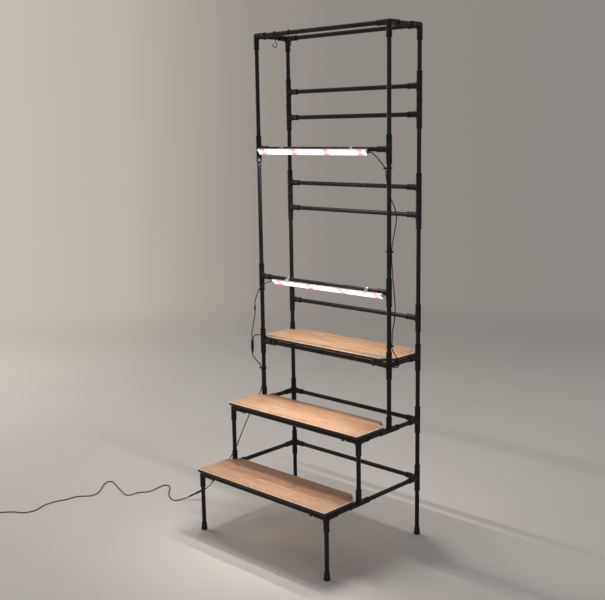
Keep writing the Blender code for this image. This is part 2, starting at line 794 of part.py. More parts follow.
# Boards
CLIP_XS = (LEFT + CLIP_LEFT_INSET, RIGHT - CLIP_RIGHT_INSET)
board(
    "board_low",
    FRONT_STEP_DEPTH + STEP_BOARD_EXTRA,
    0,
    BOARD_CORNER_CUT,
    FRONT - STEP_BOARD_OVERHANG,
    LOW_Z,
    CLIP_XS,
    FRONT,
    BOARD_LOOK,
)
board(
    "board_middle",
    MIDDLE_STEP_DEPTH + STEP_BOARD_EXTRA,
    0,
    BOARD_CORNER_CUT,
    MIDDLE - STEP_BOARD_OVERHANG,
    MIDDLE_Z,
    CLIP_XS,
    MIDDLE,
    BOARD_LOOK,
)
board(
    "board_tower",
    TOWER_BOARD_DEPTH,
    BOARD_CORNER_CUT,
    BOARD_CORNER_CUT,
    TOWER_FRONT - TOWER_BOARD_OVERHANG,
    SHELF_Z,
    CLIP_XS,
    TOWER_FRONT,
    BOARD_LOOK,
)

# Grow lights: the upper bar's lead leaves at its right end, the lower bar's at its left end
UPPER_START = LEFT + UPPER_BAR_SPACE
LOWER_START = RIGHT - LOWER_BAR_SPACE
light_bar("light_upper", UPPER_LIGHT_Z, UPPER_START, 1, UPPER_BAR_ANGLE, UPPER_CLIP_INSETS, LIGHT_LOOKS)
light_bar("light_lower", LOWER_LIGHT_Z, LOWER_START, -1, LOWER_BAR_ANGLE, LOWER_CLIP_INSETS, LIGHT_LOOKS)

# Hooks
for hook_number, hook_x in enumerate(HOOK_PLACES):
    tube_along(
        f"hook_{hook_number + 1}",
        hook_line(),
        HOOK_WIRE,
        HOOK_LOOK,
        place=(LEFT + hook_x, TOWER_FRONT, TOP_Z),
    )

# Lead of the upper light: down the right tower post, round the shelf's end, along the rear of
# its front rail, and out through the gap at the board's cut front left corner
UPPER_TIP = bar_end(UPPER_LIGHT_Z, UPPER_BAR_ANGLE, UPPER_START + BAR_LENGTH, 1)
UPPER_ROUTE = [
    UPPER_TIP,
    UPPER_TIP + 2 * LEAD_DIAMETER * ALONG_X,
    (0.272, 0.0745, 1.410),
    (0.290, 0.0760, 1.392),
    (0.302, 0.0775, 1.3785),
    (0.3088, 0.0788, 1.3690),
    (0.3122, 0.0777, 1.345),
    (0.3215, 0.0740, 1.310),
    (0.336, 0.0735, 1.270),
    (0.347, 0.0800, 1.240),
    (0.351, 0.0840, 1.212),
    (0.347, 0.0855, 1.178),
    (0.336, 0.0855, 1.130),
    (0.330, 0.0850, 1.088),
    (0.331, 0.0850, 1.048),
    (0.335, 0.0850, 1.000),
    (0.341, 0.0860, 0.940),
    (0.344, 0.0870, 0.885),
    (0.339, 0.0880, 0.842),
    (0.3300, 0.0890, 0.800),
    (0.3268, 0.0925, 0.775),
    (0.3215, 0.0972, 0.750),
    (0.3212, 0.1015, 0.7365),
    (0.3235, 0.1070, 0.7245),
    (0.3262, 0.1120, 0.7160),
    (0.3300, 0.1165, 0.7070),
    (0.3322, 0.1205, 0.6950),
    (0.3316, 0.1240, 0.6815),
    (0.3262, 0.1270, 0.6712),
    (0.3160, 0.1285, 0.6675),
    (0.3020, 0.1265, 0.6670),
    (0.2840, 0.1200, 0.6680),
    (0.2620, 0.1115, 0.6720),
    (0.2420, 0.1045, 0.6765),
    (0.2220, 0.0990, 0.6792),
    (0.1950, 0.0967, 0.680),
    (0.1500, 0.0964, 0.680),
    (0.0500, 0.0964, 0.680),
    (-0.0500, 0.0964, 0.680),
    (-0.1450, 0.0964, 0.680),
    (-0.1850, 0.0973, 0.680),
    (-0.2180, 0.0995, 0.680),
    (-0.2450, 0.1030, 0.6805),
    (-0.2680, 0.1060, 0.6820),
    (-0.2880, 0.1055, 0.6845),
    (-0.2990, 0.1020, 0.6875),
    (-0.3060, 0.0990, 0.6932),
    (-0.3150, 0.1005, 0.6985),
    (-0.3270, 0.1010, 0.7005),
    (-0.3400, 0.0985, 0.7010),
    (-0.3550, 0.0930, 0.7000),
    (-0.3670, 0.0870, 0.6965),
]

# Splitter: a jack, a short lead and the moulded body where the two leads join
SPLITTER_TOP = Vector((-0.3775, 0.0830, 0.677))
SPLITTER_FOOT = SPLITTER_TOP - SPLITTER_LENGTH * ALONG_Z
JOIN_OFFSET = LEAD_DIAMETER + TOUCH_GAP
UPPER_END = SPLITTER_TOP + TOUCH_GAP * ALONG_Z + JOIN_OFFSET * ALONG_X
UPPER_ROUTE += [UPPER_END + 2 * LEAD_DIAMETER * ALONG_Z, UPPER_END]
JACK_TOP = Vector((-0.3590, 0.0850, 0.821))
TAIL_ROUTE = [
    JACK_TOP - JACK_LENGTH * ALONG_Z,
    JACK_TOP - (JACK_LENGTH + 2 * LEAD_DIAMETER) * ALONG_Z,
    (-0.3650, 0.0845, 0.765),
    (-0.3745, 0.0835, 0.725),
    (-0.3790, 0.0830, 0.699),
    SPLITTER_TOP + 2 * LEAD_DIAMETER * ALONG_Z,
    SPLITTER_TOP,
]
LOWER_TIP = bar_end(LOWER_LIGHT_Z, LOWER_BAR_ANGLE, LOWER_START - BAR_LENGTH, -1)
LOWER_END = JACK_TOP + TOUCH_GAP * ALONG_Z
LOWER_ROUTE = [
    LOWER_TIP,
    LOWER_TIP - 2 * LEAD_DIAMETER * ALONG_X,
    (-0.276, 0.0725, 0.9215),
    (-0.293, 0.0705, 0.9110),
    (-0.309, 0.0715, 0.8990),
    (-0.324, 0.0740, 0.8860),
    (-0.337, 0.0775, 0.8690),
    (-0.349, 0.0815, 0.8520),
    LOWER_END + 3 * LEAD_DIAMETER * ALONG_Z,
    LOWER_END,
]
SUPPLY_START = SPLITTER_FOOT - TOUCH_GAP * ALONG_Z
PLUG_BARREL_START = Vector((-0.5390, -0.0560, 0.0470))
PLUG_TIP = Vector((-0.5965, -0.1005, 0.0100))
SUPPLY_ROUTE = [
    SUPPLY_START,
    SUPPLY_START - 2 * CORD_DIAMETER * ALONG_Z,
    (-0.3560, 0.0840, 0.5975),
    (-0.3380, 0.0855, 0.5830),
    (-0.3305, 0.0865, 0.5650),
    (-0.3300, 0.0870, 0.5300),
    (-0.3330, 0.0870, 0.4900),
    (-0.3480, 0.0770, 0.4450),
    (-0.3760, 0.0565, 0.3760),
    (-0.4010, 0.0390, 0.3060),
    (-0.4270, 0.0210, 0.2290),
    (-0.4640, -0.0050, 0.1540),
    (-0.5020, -0.0310, 0.0920),
    (-0.5280, -0.0490, 0.0575),
]

PLUG_AXIS = (PLUG_TIP - PLUG_BARREL_START).normalized()
PLUG_FACE = PLUG_BARREL_START
SUPPLY_END = PLUG_FACE - TOUCH_GAP * PLUG_AXIS
SUPPLY_ROUTE[-1] = SUPPLY_END - 2 * CORD_DIAMETER * PLUG_AXIS
SUPPLY_ROUTE.append(SUPPLY_END)

FLOOR_Z = CORD_DIAMETER / 2
PLUG_LENGTH = PLUG_BARREL_LENGTH + PLUG_TAPER_LENGTH
PLUG_END = PLUG_FACE + PLUG_LENGTH * PLUG_AXIS
FLOOR_START = PLUG_END + TOUCH_GAP * PLUG_AXIS
FLOOR_PLACES = (
    (-0.6250, -0.1450),
    (-0.6570, -0.1430),
    (-0.7040, -0.1160),
    (-0.7490, -0.0740),
    (-0.7800, -0.0580),
    (-0.7955, -0.0690),
    (-0.7935, -0.0930),
    (-0.7860, -0.1590),
    (-0.8110, -0.1930),
    (-0.8125, -0.2300),
    (-0.8250, -0.2440),
    (-0.8670, -0.2350),
    (-0.9730, -0.1990),
    (-1.0010, -0.1920),
    (-1.0145, -0.2040),
    (-1.0060, -0.2270),
    (-0.9380, -0.3100),
    (-0.9310, -0.3450),
    (-0.9700, -0.3950),
    (-0.9750, -0.4440),
    (-0.9890, -0.4790),
    (-0.9900, -0.5350),
    (-0.9690, -0.5910),
    (-0.9820, -0.6320),
    (-1.0260, -0.6610),
    (-1.0590, -0.6970),
)
COIL_START = Vector((-1.0980, -0.7430, FLOOR_Z))
COIL_HEADING = Vector((-0.65, -0.76, 0)).normalized()
FLOOR_END = COIL_START - TOUCH_GAP * COIL_HEADING
FLOOR_ROUTE = [FLOOR_START, FLOOR_START + 2 * CORD_DIAMETER * PLUG_AXIS]
FLOOR_ROUTE += [(x, y, FLOOR_Z) for x, y in FLOOR_PLACES]
FLOOR_ROUTE += [FLOOR_END - 2 * CORD_DIAMETER * COIL_HEADING, FLOOR_END]

LEAD_STEP = 0.014
SUPPLY_STEP = 0.011
FLOOR_STEP = 0.016
upper_points, upper_length = smooth_line(UPPER_ROUTE, LEAD_STEP)
lower_points, lower_length = smooth_line(LOWER_ROUTE, SUPPLY_STEP)
tail_points, tail_length = smooth_line(TAIL_ROUTE, SUPPLY_STEP)
supply_points, supply_length = smooth_line(SUPPLY_ROUTE, SUPPLY_STEP)
floor_points, floor_length = smooth_line(FLOOR_ROUTE, FLOOR_STEP)
tube_along("light_upper_lead", upper_points, LEAD_DIAMETER, CORD_LOOK)
tube_along("light_lower_lead", lower_points, LEAD_DIAMETER, CORD_LOOK)
tube_along("supply_lead", supply_points, CORD_DIAMETER, CORD_LOOK)
tube_along("floor_cord", floor_points, CORD_DIAMETER, CORD_LOOK)

# The splitter is one moulding: its radius changes along its own line
JACK_RADIUS = JACK_DIAMETER / 2
LEAD_RADIUS = LEAD_DIAMETER / 2
SPLITTER_RADIUS = SPLITTER_DIAMETER / 2
NOSE_RADIUS = CORD_DIAMETER / 2 + PLUG_CHAMFER / 2
STEP_LENGTH = WELD_SIZE * 20
splitter_points = [JACK_TOP, JACK_TOP - (JACK_LENGTH - STEP_LENGTH) * ALONG_Z]
splitter_radii = [JACK_RADIUS, JACK_RADIUS]
for point in tail_points[:-1]:
    splitter_points.append(point)
    splitter_radii.append(LEAD_RADIUS)
for drop, radius in (
    (-STEP_LENGTH, LEAD_RADIUS),
    (0, SPLITTER_RADIUS),
    (SPLITTER_LENGTH - SPLITTER_NOSE, SPLITTER_RADIUS),
    (SPLITTER_LENGTH, NOSE_RADIUS),
):
    splitter_points.append(SPLITTER_TOP - drop * ALONG_Z)
    splitter_radii.append(radius)
tube_along(
    "splitter",
    splitter_points,
    LEAD_DIAMETER,
    PLUG_LOOK,
    radii=splitter_radii,
)

# The connector between the two cords: a straight barrel and a tapered strain relief
BARREL_RADIUS = PLUG_BARREL_DIAMETER / 2
CORD_RADIUS = CORD_DIAMETER / 2
connector_points = []
connector_radii = []
for along, radius in (
    (0, BARREL_RADIUS - PLUG_CHAMFER),
    (PLUG_CHAMFER, BARREL_RADIUS),
    (PLUG_BARREL_LENGTH, BARREL_RADIUS),
    (PLUG_LENGTH - PLUG_TAPER_LENGTH / 2, (BARREL_RADIUS + CORD_RADIUS) / 2),
    (PLUG_LENGTH, CORD_RADIUS + PLUG_CHAMFER / 2),
):
    connector_points.append(PLUG_FACE + along * PLUG_AXIS)
    connector_radii.append(radius)
tube_along(
    "cord_connector",
    connector_points,
    CORD_DIAMETER,
    PLUG_LOOK,
    radii=connector_radii,
)

# The rest of the cord is wound up, and ends at its wall adapter
coil_points = coil_line(COIL_START, COIL_HEADING)
coil_length = sum((b - a).length for a, b in zip(coil_points, coil_points[1:]))
tube_along("cord_coil", coil_points, CORD_DIAMETER, CORD_LOOK, resolution=1)
ADAPTER_FACE = coil_points[-1] + TOUCH_GAP * COIL_HEADING
ADAPTER_TURN = math.atan2(COIL_HEADING.y, COIL_HEADING.x)
adapter_shape = bmesh.new()
bmesh.ops.create_cube(adapter_shape, size=1)
bmesh.ops.scale(
    adapter_shape,
    vec=(ADAPTER_LENGTH, ADAPTER_WIDTH, ADAPTER_HEIGHT),
    verts=adapter_shape.verts,
)
bmesh.ops.bevel(
    adapter_shape,
    geom=adapter_shape.edges[:],
    offset=ADAPTER_BEVEL,
    segments=1,
    affect="EDGES",
    profile=0.5,
)
adapter_middle = ADAPTER_FACE + COIL_HEADING * ADAPTER_LENGTH / 2
adapter_place = (adapter_middle.x, adapter_middle.y, ADAPTER_HEIGHT / 2)
adapter = add_object(
    "wall_adapter",
    finish(adapter_shape, "wall_adapter"),
    PLUG_LOOK,
    adapter_place,
    None,
    (0, 0, ADAPTER_TURN),
)
for number, blade_side in enumerate((-1, 1)):
    blade_shape = bmesh.new()
    bmesh.ops.create_cube(blade_shape, size=1)
    bmesh.ops.scale(
        blade_shape,
        vec=(BLADE_LENGTH + BLADE_ROOT, BLADE_THICKNESS, BLADE_WIDTH),
        verts=blade_shape.verts,
    )
    blade_name = f"wall_adapter_blade_{number + 1}"
    reach = ADAPTER_LENGTH / 2 + (BLADE_LENGTH - BLADE_ROOT) / 2
    across_heading = Vector((-COIL_HEADING.y, COIL_HEADING.x, 0))
    blade_place = Vector(adapter_place) + COIL_HEADING * reach
    blade_place += across_heading * blade_side * BLADE_SPACING / 2
    blade = add_object(
        blade_name,
        finish(blade_shape, blade_name),
        PLUG_LOOK,
        blade_place,
        None,
        (0, 0, ADAPTER_TURN),
    )
    join_tool(adapter, blade)

print(f"upper lead {upper_length:.3f} m, lower lead {lower_length:.3f} m")
print(f"splitter tail {tail_length:.3f} m, supply lead {supply_length:.3f} m")
print(f"floor cord {floor_length:.3f} m, coil {coil_length:.3f} m")
print(f"least gap in the coil {1000 * least_gap(coil_points, CORD_DIAMETER):.2f} mm")
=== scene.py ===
"""Plant stand with two grow light bars: what is seen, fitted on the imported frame.

Metres, in the part's own frame: +Z up, origin on the floor under the middle.
"""

from bisect import bisect_left
from itertools import accumulate, pairwise
from math import asin, atan2, cos, pi, radians, sin, sqrt, tan

import bmesh
import bpy
from mathutils import Matrix, Vector


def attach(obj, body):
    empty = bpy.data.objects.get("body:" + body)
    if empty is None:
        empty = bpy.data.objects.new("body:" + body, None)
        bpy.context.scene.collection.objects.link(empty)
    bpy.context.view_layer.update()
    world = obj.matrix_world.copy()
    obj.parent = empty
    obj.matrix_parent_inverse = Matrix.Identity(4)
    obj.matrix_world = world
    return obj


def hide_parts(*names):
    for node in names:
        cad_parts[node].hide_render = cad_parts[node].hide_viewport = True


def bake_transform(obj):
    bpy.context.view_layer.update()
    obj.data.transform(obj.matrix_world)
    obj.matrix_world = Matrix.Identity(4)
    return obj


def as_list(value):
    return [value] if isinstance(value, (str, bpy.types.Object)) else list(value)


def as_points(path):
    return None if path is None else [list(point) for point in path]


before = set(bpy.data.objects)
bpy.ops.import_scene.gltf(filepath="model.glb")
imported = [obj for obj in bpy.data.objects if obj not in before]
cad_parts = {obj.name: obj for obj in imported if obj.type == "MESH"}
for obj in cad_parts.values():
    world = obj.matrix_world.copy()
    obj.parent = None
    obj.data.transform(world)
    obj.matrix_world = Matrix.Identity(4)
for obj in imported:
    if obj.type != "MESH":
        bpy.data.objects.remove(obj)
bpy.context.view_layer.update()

# Sizes and places that the part's source names too
TUBE_RADIUS = 0.008
BORE_RADIUS = 0.0083
FITTING_ARM = 0.049
SOCKET_DEPTH = 0.03
TOUCH_GAP = 0.0003
RIGHT = 0.3175
LEFT = -RIGHT
BACK = 0.2545
TOWER_FRONT = 0.0865
MIDDLE = -0.0815
FRONT = -0.2495
STEP_DEPTH = 0.168
LOW_Z = 0.222
MIDDLE_Z = 0.446
SHELF_Z = 0.683
LADDER_ZS = (0.828, 1.2, 1.298, 1.551, 1.649)
LOWER_LIGHT_Z = 0.943
UPPER_LIGHT_Z = 1.435
TOP_Z = 1.852
FOOT_SEAT = 0.0043
BOARD_SEAT = 0.01105
BOARD_THICKNESS = 0.012
BOARD_END = 0.325
BOARD_DEPTH = 0.192
BOARD_CUT = 0.04295
STEP_BOARD_OVERHANG = 0.017
TOWER_BOARD_OVERHANG = 0.008
CLIP_INSET = 0.066
CLIP_HALF_WIDTH = 0.007
CLIP_WALL = 0.002
CLIP_MOUTH_ANGLE = radians(35)
CLIP_LIP_ANGLE = radians(16)
CLIP_NECK_ANGLE = radians(58)
BAR_LENGTH = 0.5379
BAR_AXIS = 0.017
BAR_BACK = 0.012
BAR_WIDTH = 0.022
BAR_THICKNESS = 0.01
BAR_FREE_END = 0.005
BAR_FRONT = BAR_BACK + BAR_THICKNESS
BAR_FLOOR = BAR_FRONT - 0.0042
STRIP_THICKNESS = 0.0016
BAR_CLIP_HALF_WIDTH = 0.006
BAR_CLIP_MOUTH_ANGLE = radians(50)
BAR_CLIP_FLANK_ANGLE = radians(62)
GLAND_LENGTH = 0.0075
UPPER_BAR_ANGLE = radians(35)
LOWER_BAR_ANGLE = radians(52)
UPPER_START = LEFT + 0.014
LOWER_START = RIGHT - 0.0193
LAMP_COUNT = 24
LAMP_PITCH = 0.0228
HOOK_WIRE = 0.003
HOOK_DROP = 0.049
HOOK_TIP_ANGLE = radians(-20)
HOOK_PLACES = (LEFT + 0.098, LEFT + 0.172)
LEAD_DIAMETER = 0.0036
CORD_DIAMETER = 0.004
JACK_LENGTH = 0.024
SPLITTER_LENGTH = 0.054
PLUG_LENGTH = 0.078
COIL_TURNS = 4
COIL_LOOP_POINTS = 24
COIL_OUTER_RADIUS = 0.0264
COIL_PITCH = 0.0048
COIL_TAIL = 0.032
ADAPTER_SIZE = Vector((0.044, 0.028, 0.026))

# Finer shapes that only this script has
BODY_RADIUS = 0.0102
BEAD_RADIUS = 0.01075
BEAD_EDGE = 0.0105
WEB_POWER = 1.2
QUARTER = 8
ROUND = 4 * QUARTER
TUBE_CHAMFER = 0.0006
RIM_ROUNDING = 0.0024
SCREW_SETBACK = 0.0065
RED_LAMPS = (1, 8, 15, 22)
RED_PITCH = 7 * LAMP_PITCH
FIRST_LAMP_NUDGE = 0.0012
GLOW_DROP = 0.014
TIE_SLACK = 0.00035
SHARP = 38

X = Vector((1, 0, 0))
Y = Vector((0, 1, 0))
Z = Vector((0, 0, 1))
SIDES = (X, -X, Y, -Y, Z, -Z)


# ---- materials


class Graph:
    """A node tree, with short calls for the nodes that this script uses."""

    def __init__(self, tree):
        self.tree = tree

    def feed(self, node, socket, value):
        if isinstance(value, bpy.types.NodeSocket):
            self.tree.links.new(value, node.inputs[socket])
        else:
            node.inputs[socket].default_value = value

    def node(self, kind, inputs=None, **settings):
        made = self.tree.nodes.new(f"ShaderNode{kind}")
        for key, value in settings.items():
            setattr(made, key, value)
        for socket, value in (inputs or {}).items():
            self.feed(made, socket, value)
        return made

    def maths(self, operation, *values):
        return self.node("Math", dict(enumerate(values)), operation=operation).outputs[0]

    def ramp(self, factor, *stops):
        made = self.node("ValToRGB", {"Fac": factor})
        elements = made.color_ramp.elements
        while len(elements) < len(stops):
            elements.new(0.5)
        for element, (place, colour) in zip(elements, stops):
            element.position = place
            element.color = (*colour, 1)
        return made.outputs["Color"]

    def span(self, value, low, high, start=0.3, end=0.7, **settings):
        """A value's run from start to end, spread over low to high."""
        inputs = {"Value": value, "From Min": start, "From Max": end, "To Min": low, "To Max": high}
        return self.node("MapRange", inputs, **settings).outputs["Result"]

    def blended(self, output, factor, first, second):
        """Two shaders mixed into the tree's output node."""
        mix = self.node("MixShader", {"Fac": factor, 1: first.outputs[0], 2: second.outputs[0]})
        self.feed(self.tree.nodes[output], "Surface", mix.outputs[0])


class Look(Graph):
    """A node material around one Principled shader."""

    def __init__(self, name, **sockets):
        self.material = bpy.data.materials.new(name)
        self.material.use_nodes = True
        super().__init__(self.material.node_tree)
        self.shader = self.tree.nodes["Principled BSDF"]
        for socket, value in sockets.items():
            self.feed(self.shader, socket.replace("_", " "), value)
        self.place = self.node("TexCoord").outputs["Object"]

    def noise(self, scale, detail=3, roughness=0.5, stretch=None, distortion=0):
        place = self.place
        if stretch:
            place = self.node("Mapping", {"Vector": place, "Scale": stretch}).outputs["Vector"]
        inputs = {"Vector": place, "Scale": scale, "Detail": detail}
        inputs |= {"Roughness": roughness, "Distortion": distortion}
        return self.node("TexNoise", inputs).outputs["Fac"]

    def mixed(self, factor, first, second):
        return self.node("Mix", {0: factor, 6: first, 7: second}, data_type="RGBA").outputs[2]

    def surface(self, colour, gloss, relief, strength, depth):
        bump = self.node("Bump", {"Height": relief, "Strength": strength, "Distance": depth})
        self.feed(self.shader, "Base Color", colour)
        self.feed(self.shader, "Roughness", gloss)
        self.feed(self.shader, "Normal", bump.outputs["Normal"])
        return self.material

    def shining(self, colour):
        self.feed(self.shader, "Base Color", colour)
        self.feed(self.shader, "Emission Color", colour)
        return self.material


def speckled(name, dark, pale, gloss, grain, depth, cloud=(9, 4, 0.6), patches=(38, 3), **sockets):
    """Cloudy colour, patchy gloss and a fine grain: coated, moulded or plated surfaces."""
    strength = sockets.pop("strength", 0.35)
    look = Look(name, **(sockets or {"Specular_IOR_Level": 0.22}))
    return look.surface(
        look.ramp(look.noise(*cloud), (0.3, dark), (0.7, pale)),
        look.span(look.noise(*patches), *gloss), look.noise(grain, 2), strength, depth,
    )


def wood():
    """Oiled oak in glued staves, the grain along the board."""
    look = Look("oak_staves", Coat_Weight=0.08, Coat_Roughness=0.35)
    bent = look.noise(2.2, 2, stretch=(0.6, 5, 5))
    staves = look.node(
        "TexBrick",
        {
            "Vector": look.place, "Color1": (0.36, 0.36, 0.36, 1), "Color2": (0.66, 0.66, 0.66, 1),
            "Mortar": (0.42, 0.42, 0.42, 1), "Scale": 1, "Mortar Size": 0.0002,
            "Mortar Smooth": 0.4, "Brick Width": 0.17, "Row Height": 0.024,
        },
        offset=0.37,
    ).outputs["Color"]
    streaks = look.noise(1, 8, 0.62, (4.5, 80, 80), 0.35)
    mottles = look.noise(1, 5, 0.66, (15, 62, 62), 0.9)
    figure = look.mixed(0.62, streaks, mottles)
    broad = look.mixed(0.38, bent, staves)
    base = look.ramp(
        look.mixed(0.68, broad, figure), (0.33, (0.33, 0.15, 0.07)), (0.44, (0.545, 0.29, 0.155)),
        (0.52, (0.65, 0.385, 0.222)), (0.66, (0.79, 0.53, 0.335)),
    )
    pores = look.noise(1, 3, 0.7, (42, 900, 900))
    flecks = look.span(pores, 0, 0.55, 0.6, 0.74)
    colour = look.mixed(flecks, base, (0.17, 0.08, 0.04, 1))
    return look.surface(colour, look.span(streaks, 0.4, 0.56), pores, 0.25, 0.0004)


def grained(name, stretch, detail, dark, pale, gloss, strength, depth):
    """Wood whose colour, gloss and relief follow one grain along the board."""
    look = Look(name)
    grain = look.noise(1, detail, 0.6, stretch)
    colour = look.ramp(grain, dark, pale)
    return look.surface(colour, look.span(grain, *gloss), grain, strength, depth)


def brushed():
    """Anodised aluminium drawn along the bar."""
    look = Look("anodised_channel", Metallic=0.85)
    lines = look.noise(1, 4, 0.7, (12, 900, 900))
    colour = look.ramp(look.noise(14), (0.3, (0.6, 0.6, 0.61)), (0.7, (0.74, 0.74, 0.74)))
    return look.surface(colour, look.span(lines, 0.3, 0.46), lines, 0.2, 0.0001)


def lit(name, cool, warm, strength):
    """A surface that shines by itself, a little uneven."""
    look = Look(name, Roughness=0.25, Emission_Strength=strength)
    return look.shining(look.ramp(look.noise(160, 2), (0.3, cool), (0.7, warm)))


def painted_lamp_glow(name, first_red, reach, pale, red, strength):
    """Painted glow on a face beside the lamps: emission that stands in for their light, white, and
    red where a red lamp sits by it.
    """
    look = Look(name, Roughness=0.45, Emission_Strength=strength)
    along = look.node("SeparateXYZ", {0: look.place}).outputs["X"]
    shifted = look.maths("ADD", along, RED_PITCH / 2 - first_red)
    wrapped = look.maths("WRAP", shifted, RED_PITCH, 0)
    away = look.maths("ABSOLUTE", look.maths("SUBTRACT", wrapped, RED_PITCH / 2))
    near = look.span(away, 1, 0, 0.35 * reach, reach, interpolation_type="SMOOTHSTEP")
    cloud = look.ramp(look.noise(160, 2), (0.3, pale), (0.7, (1, 0.99, 0.97)))
    return look.shining(look.mixed(near, cloud, (*red, 1)))


TUBE = speckled(
    "powder_coated_tube", (0.006, 0.0054, 0.0084), (0.0125, 0.0114, 0.0168), (0.3, 0.46), 1400,
    0.00025,
)
FITTING = speckled(
    "moulded_fitting", (0.006, 0.0058, 0.0072), (0.0105, 0.0102, 0.0122), (0.4, 0.56), 2200,
    0.00018,
)
RUBBER = speckled(
    "foot_rubber", (0.012, 0.012, 0.013), (0.026, 0.026, 0.027), (0.62, 0.8), 1800, 0.0003
)
PLASTIC = speckled(
    "black_plug_plastic", (0.012, 0.012, 0.014), (0.022, 0.022, 0.025), (0.32, 0.48), 2600,
    0.00015,
)
SHEATH = speckled(
    "cord_sheath", (0.01, 0.01, 0.012), (0.021, 0.021, 0.023), (0.4, 0.58), 2400, 0.00012
)
NYLON = speckled(
    "tie_nylon", (0.005, 0.005, 0.006), (0.011, 0.011, 0.012), (0.38, 0.52), 3000, 0.0001
)
END_CAP = speckled(
    "light_end_cap", (0.6, 0.6, 0.6), (0.74, 0.73, 0.72), (0.38, 0.52), 1800, 0.0001
)
WOOD = wood()
# Painted shade: the boards' sides and downward rims are coloured near black for the shade on them
PAINTED_SHADE_EDGE = grained(
    "board_edge_painted_shade", (6, 160, 320), 5, (0.35, (0.012, 0.009, 0.008)),
    (0.7, (0.045, 0.029, 0.021)), (0.45, 0.65), 0.3, 0.0003,
)
# Painted highlight: the boards' rims that face up are coloured pale for a bright edge highlight
PAINTED_RIM_HIGHLIGHT = grained(
    "board_rim_painted_highlight", (9, 120, 120), 4, (0.3, (0.86, 0.7, 0.54)), (0.7, (0.97, 0.88, 0.76)),
    (0.34, 0.5), 0.2, 0.0002,
)
CHANNEL = brushed()
CLEAR = speckled(
    "clear_clip_plastic", (0.8, 0.8, 0.82), (0.92, 0.92, 0.93), (0.12, 0.28), 420, 0.0002, (60, 2),
    (240, 2), strength=0.2, Transmission_Weight=0.75, IOR=1.5,
)
BRONZE = speckled(
    "bronze_wire", (0.016, 0.014, 0.01), (0.042, 0.036, 0.026), (0.3, 0.5), 900, 0.0001,
    (120, 4, 0.6), (300, 3), strength=0.25, Metallic=0.6,
)
BLADE = speckled(
    "plated_blade", (0.55, 0.52, 0.46), (0.72, 0.7, 0.66), (0.22, 0.38), 1200, 0.0001, (90, 3),
    (200, 2), strength=0.15, Metallic=1,
)
WHITE_LAMP = lit("white_lamp", (1, 0.96, 0.93), (1, 1, 0.98), 1.5)
RED_LAMP = lit("red_lamp", (1, 0.42, 0.45), (1, 0.6, 0.62), 1.1)


# ---- mesh tools


def after(items):
    """Each item's next one, round to the first."""
    return items[1:] + items[:1]


def poured(whole, mesh):
    whole.from_mesh(mesh)
    bpy.data.meshes.remove(mesh)
    return whole


class Skin:
    """A closed surface whose faces share the corners that meet, in one or more looks."""

    def __init__(self):
        self.points, self.faces, self.looks = [], [], []
        self.known = {}
        self.look = 0

    def corner(self, point):
        key = tuple(round(value * 2e5) for value in point)
        if key not in self.known:
            self.known[key] = len(self.points)
            self.points.append(tuple(point))
        return self.known[key]

    def face(self, points):
        corners = list(dict.fromkeys(self.corner(point) for point in points))
        if len(corners) > 2:
            self.faces.append(corners)
            self.looks.append(self.look)

    def band(self, first, second):
        for points in zip(first, after(first), after(second), second):
            self.face(points)

    def bands(self, rings):
        for first, second in pairwise(rings):
            self.band(first, second)

    def shape(self):
        mesh = bpy.data.meshes.new("skin")
        mesh.from_pydata(self.points, [], self.faces)
        mesh.polygons.foreach_set("material_index", self.looks)
        return poured(bmesh.new(), mesh)


def stacked(rings):
    """A shape from rings of corners, closed at both ends."""
    skin = Skin()
    skin.bands(rings)
    skin.face(rings[0])
    skin.face(rings[-1])
    return skin.shape()


def linked(name, data):
    made = bpy.data.objects.new(name, data)
    bpy.context.scene.collection.objects.link(made)
    return made


def add(name, shape, looks, slot, *nodes, body="stand", sharp=SHARP, pose=None):
    """One piece of the object from its shape, on its body, in place of CAD nodes."""
    bmesh.ops.recalc_face_normals(shape, faces=shape.faces)
    mesh = bpy.data.meshes.new(name)
    shape.to_mesh(mesh)
    shape.free()
    mesh.shade_smooth()
    mesh.set_sharp_from_angle(angle=radians(sharp))
    if pose:
        mesh.transform(pose)
    piece = linked(name, mesh)
    for look in looks if isinstance(looks, tuple) else (looks,):
        mesh.materials.append(look)
    if body:
        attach(piece, body)
    if nodes:
        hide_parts(*nodes)
    return piece


def across(side):
    if side.x:
        return Y, Z
    if side.y:
        return Z, X
    return X, Y


def polar(radius, angle):
    return radius * cos(angle), radius * sin(angle)


def arc(radius, start, end, steps):
    return [polar(radius, start + (end - start) * step / steps) for step in range(steps + 1)]


def turns(count=ROUND):
    """Even headings round a circle, the first at 45 degrees."""
    return [polar(1, pi / 4 + 2 * pi * step / count) for step in range(count)]


def circle(centre, first, second, radius, count):
    return [centre + radius * (wide * first + high * second) for wide, high in turns(count)]


def ring(centre, side, radius, count=ROUND):
    return circle(centre, *across(side), radius, count)


def rounded(shape, edges, offset, segments):
    bmesh.ops.bevel(
        shape, geom=edges, offset=offset, segments=segments, affect="EDGES", profile=0.5
    )
    return shape


def block(low, high, bevel, segments):
    """A box with rounded edges."""
    shape = bmesh.new()
    bmesh.ops.create_cube(shape, size=1)
    low, high = Vector(low), Vector(high)
    bmesh.ops.scale(shape, vec=high - low, verts=shape.verts)
    bmesh.ops.translate(shape, vec=(low + high) / 2, verts=shape.verts)
    return rounded(shape, shape.edges[:], bevel, segments)


def merged(shapes):
    """Several shapes in one, each closed by itself."""
    whole = bmesh.new()
    for shape in shapes:
        mesh = bpy.data.meshes.new("part")
        shape.to_mesh(mesh)
        shape.free()
        poured(whole, mesh)
    return whole


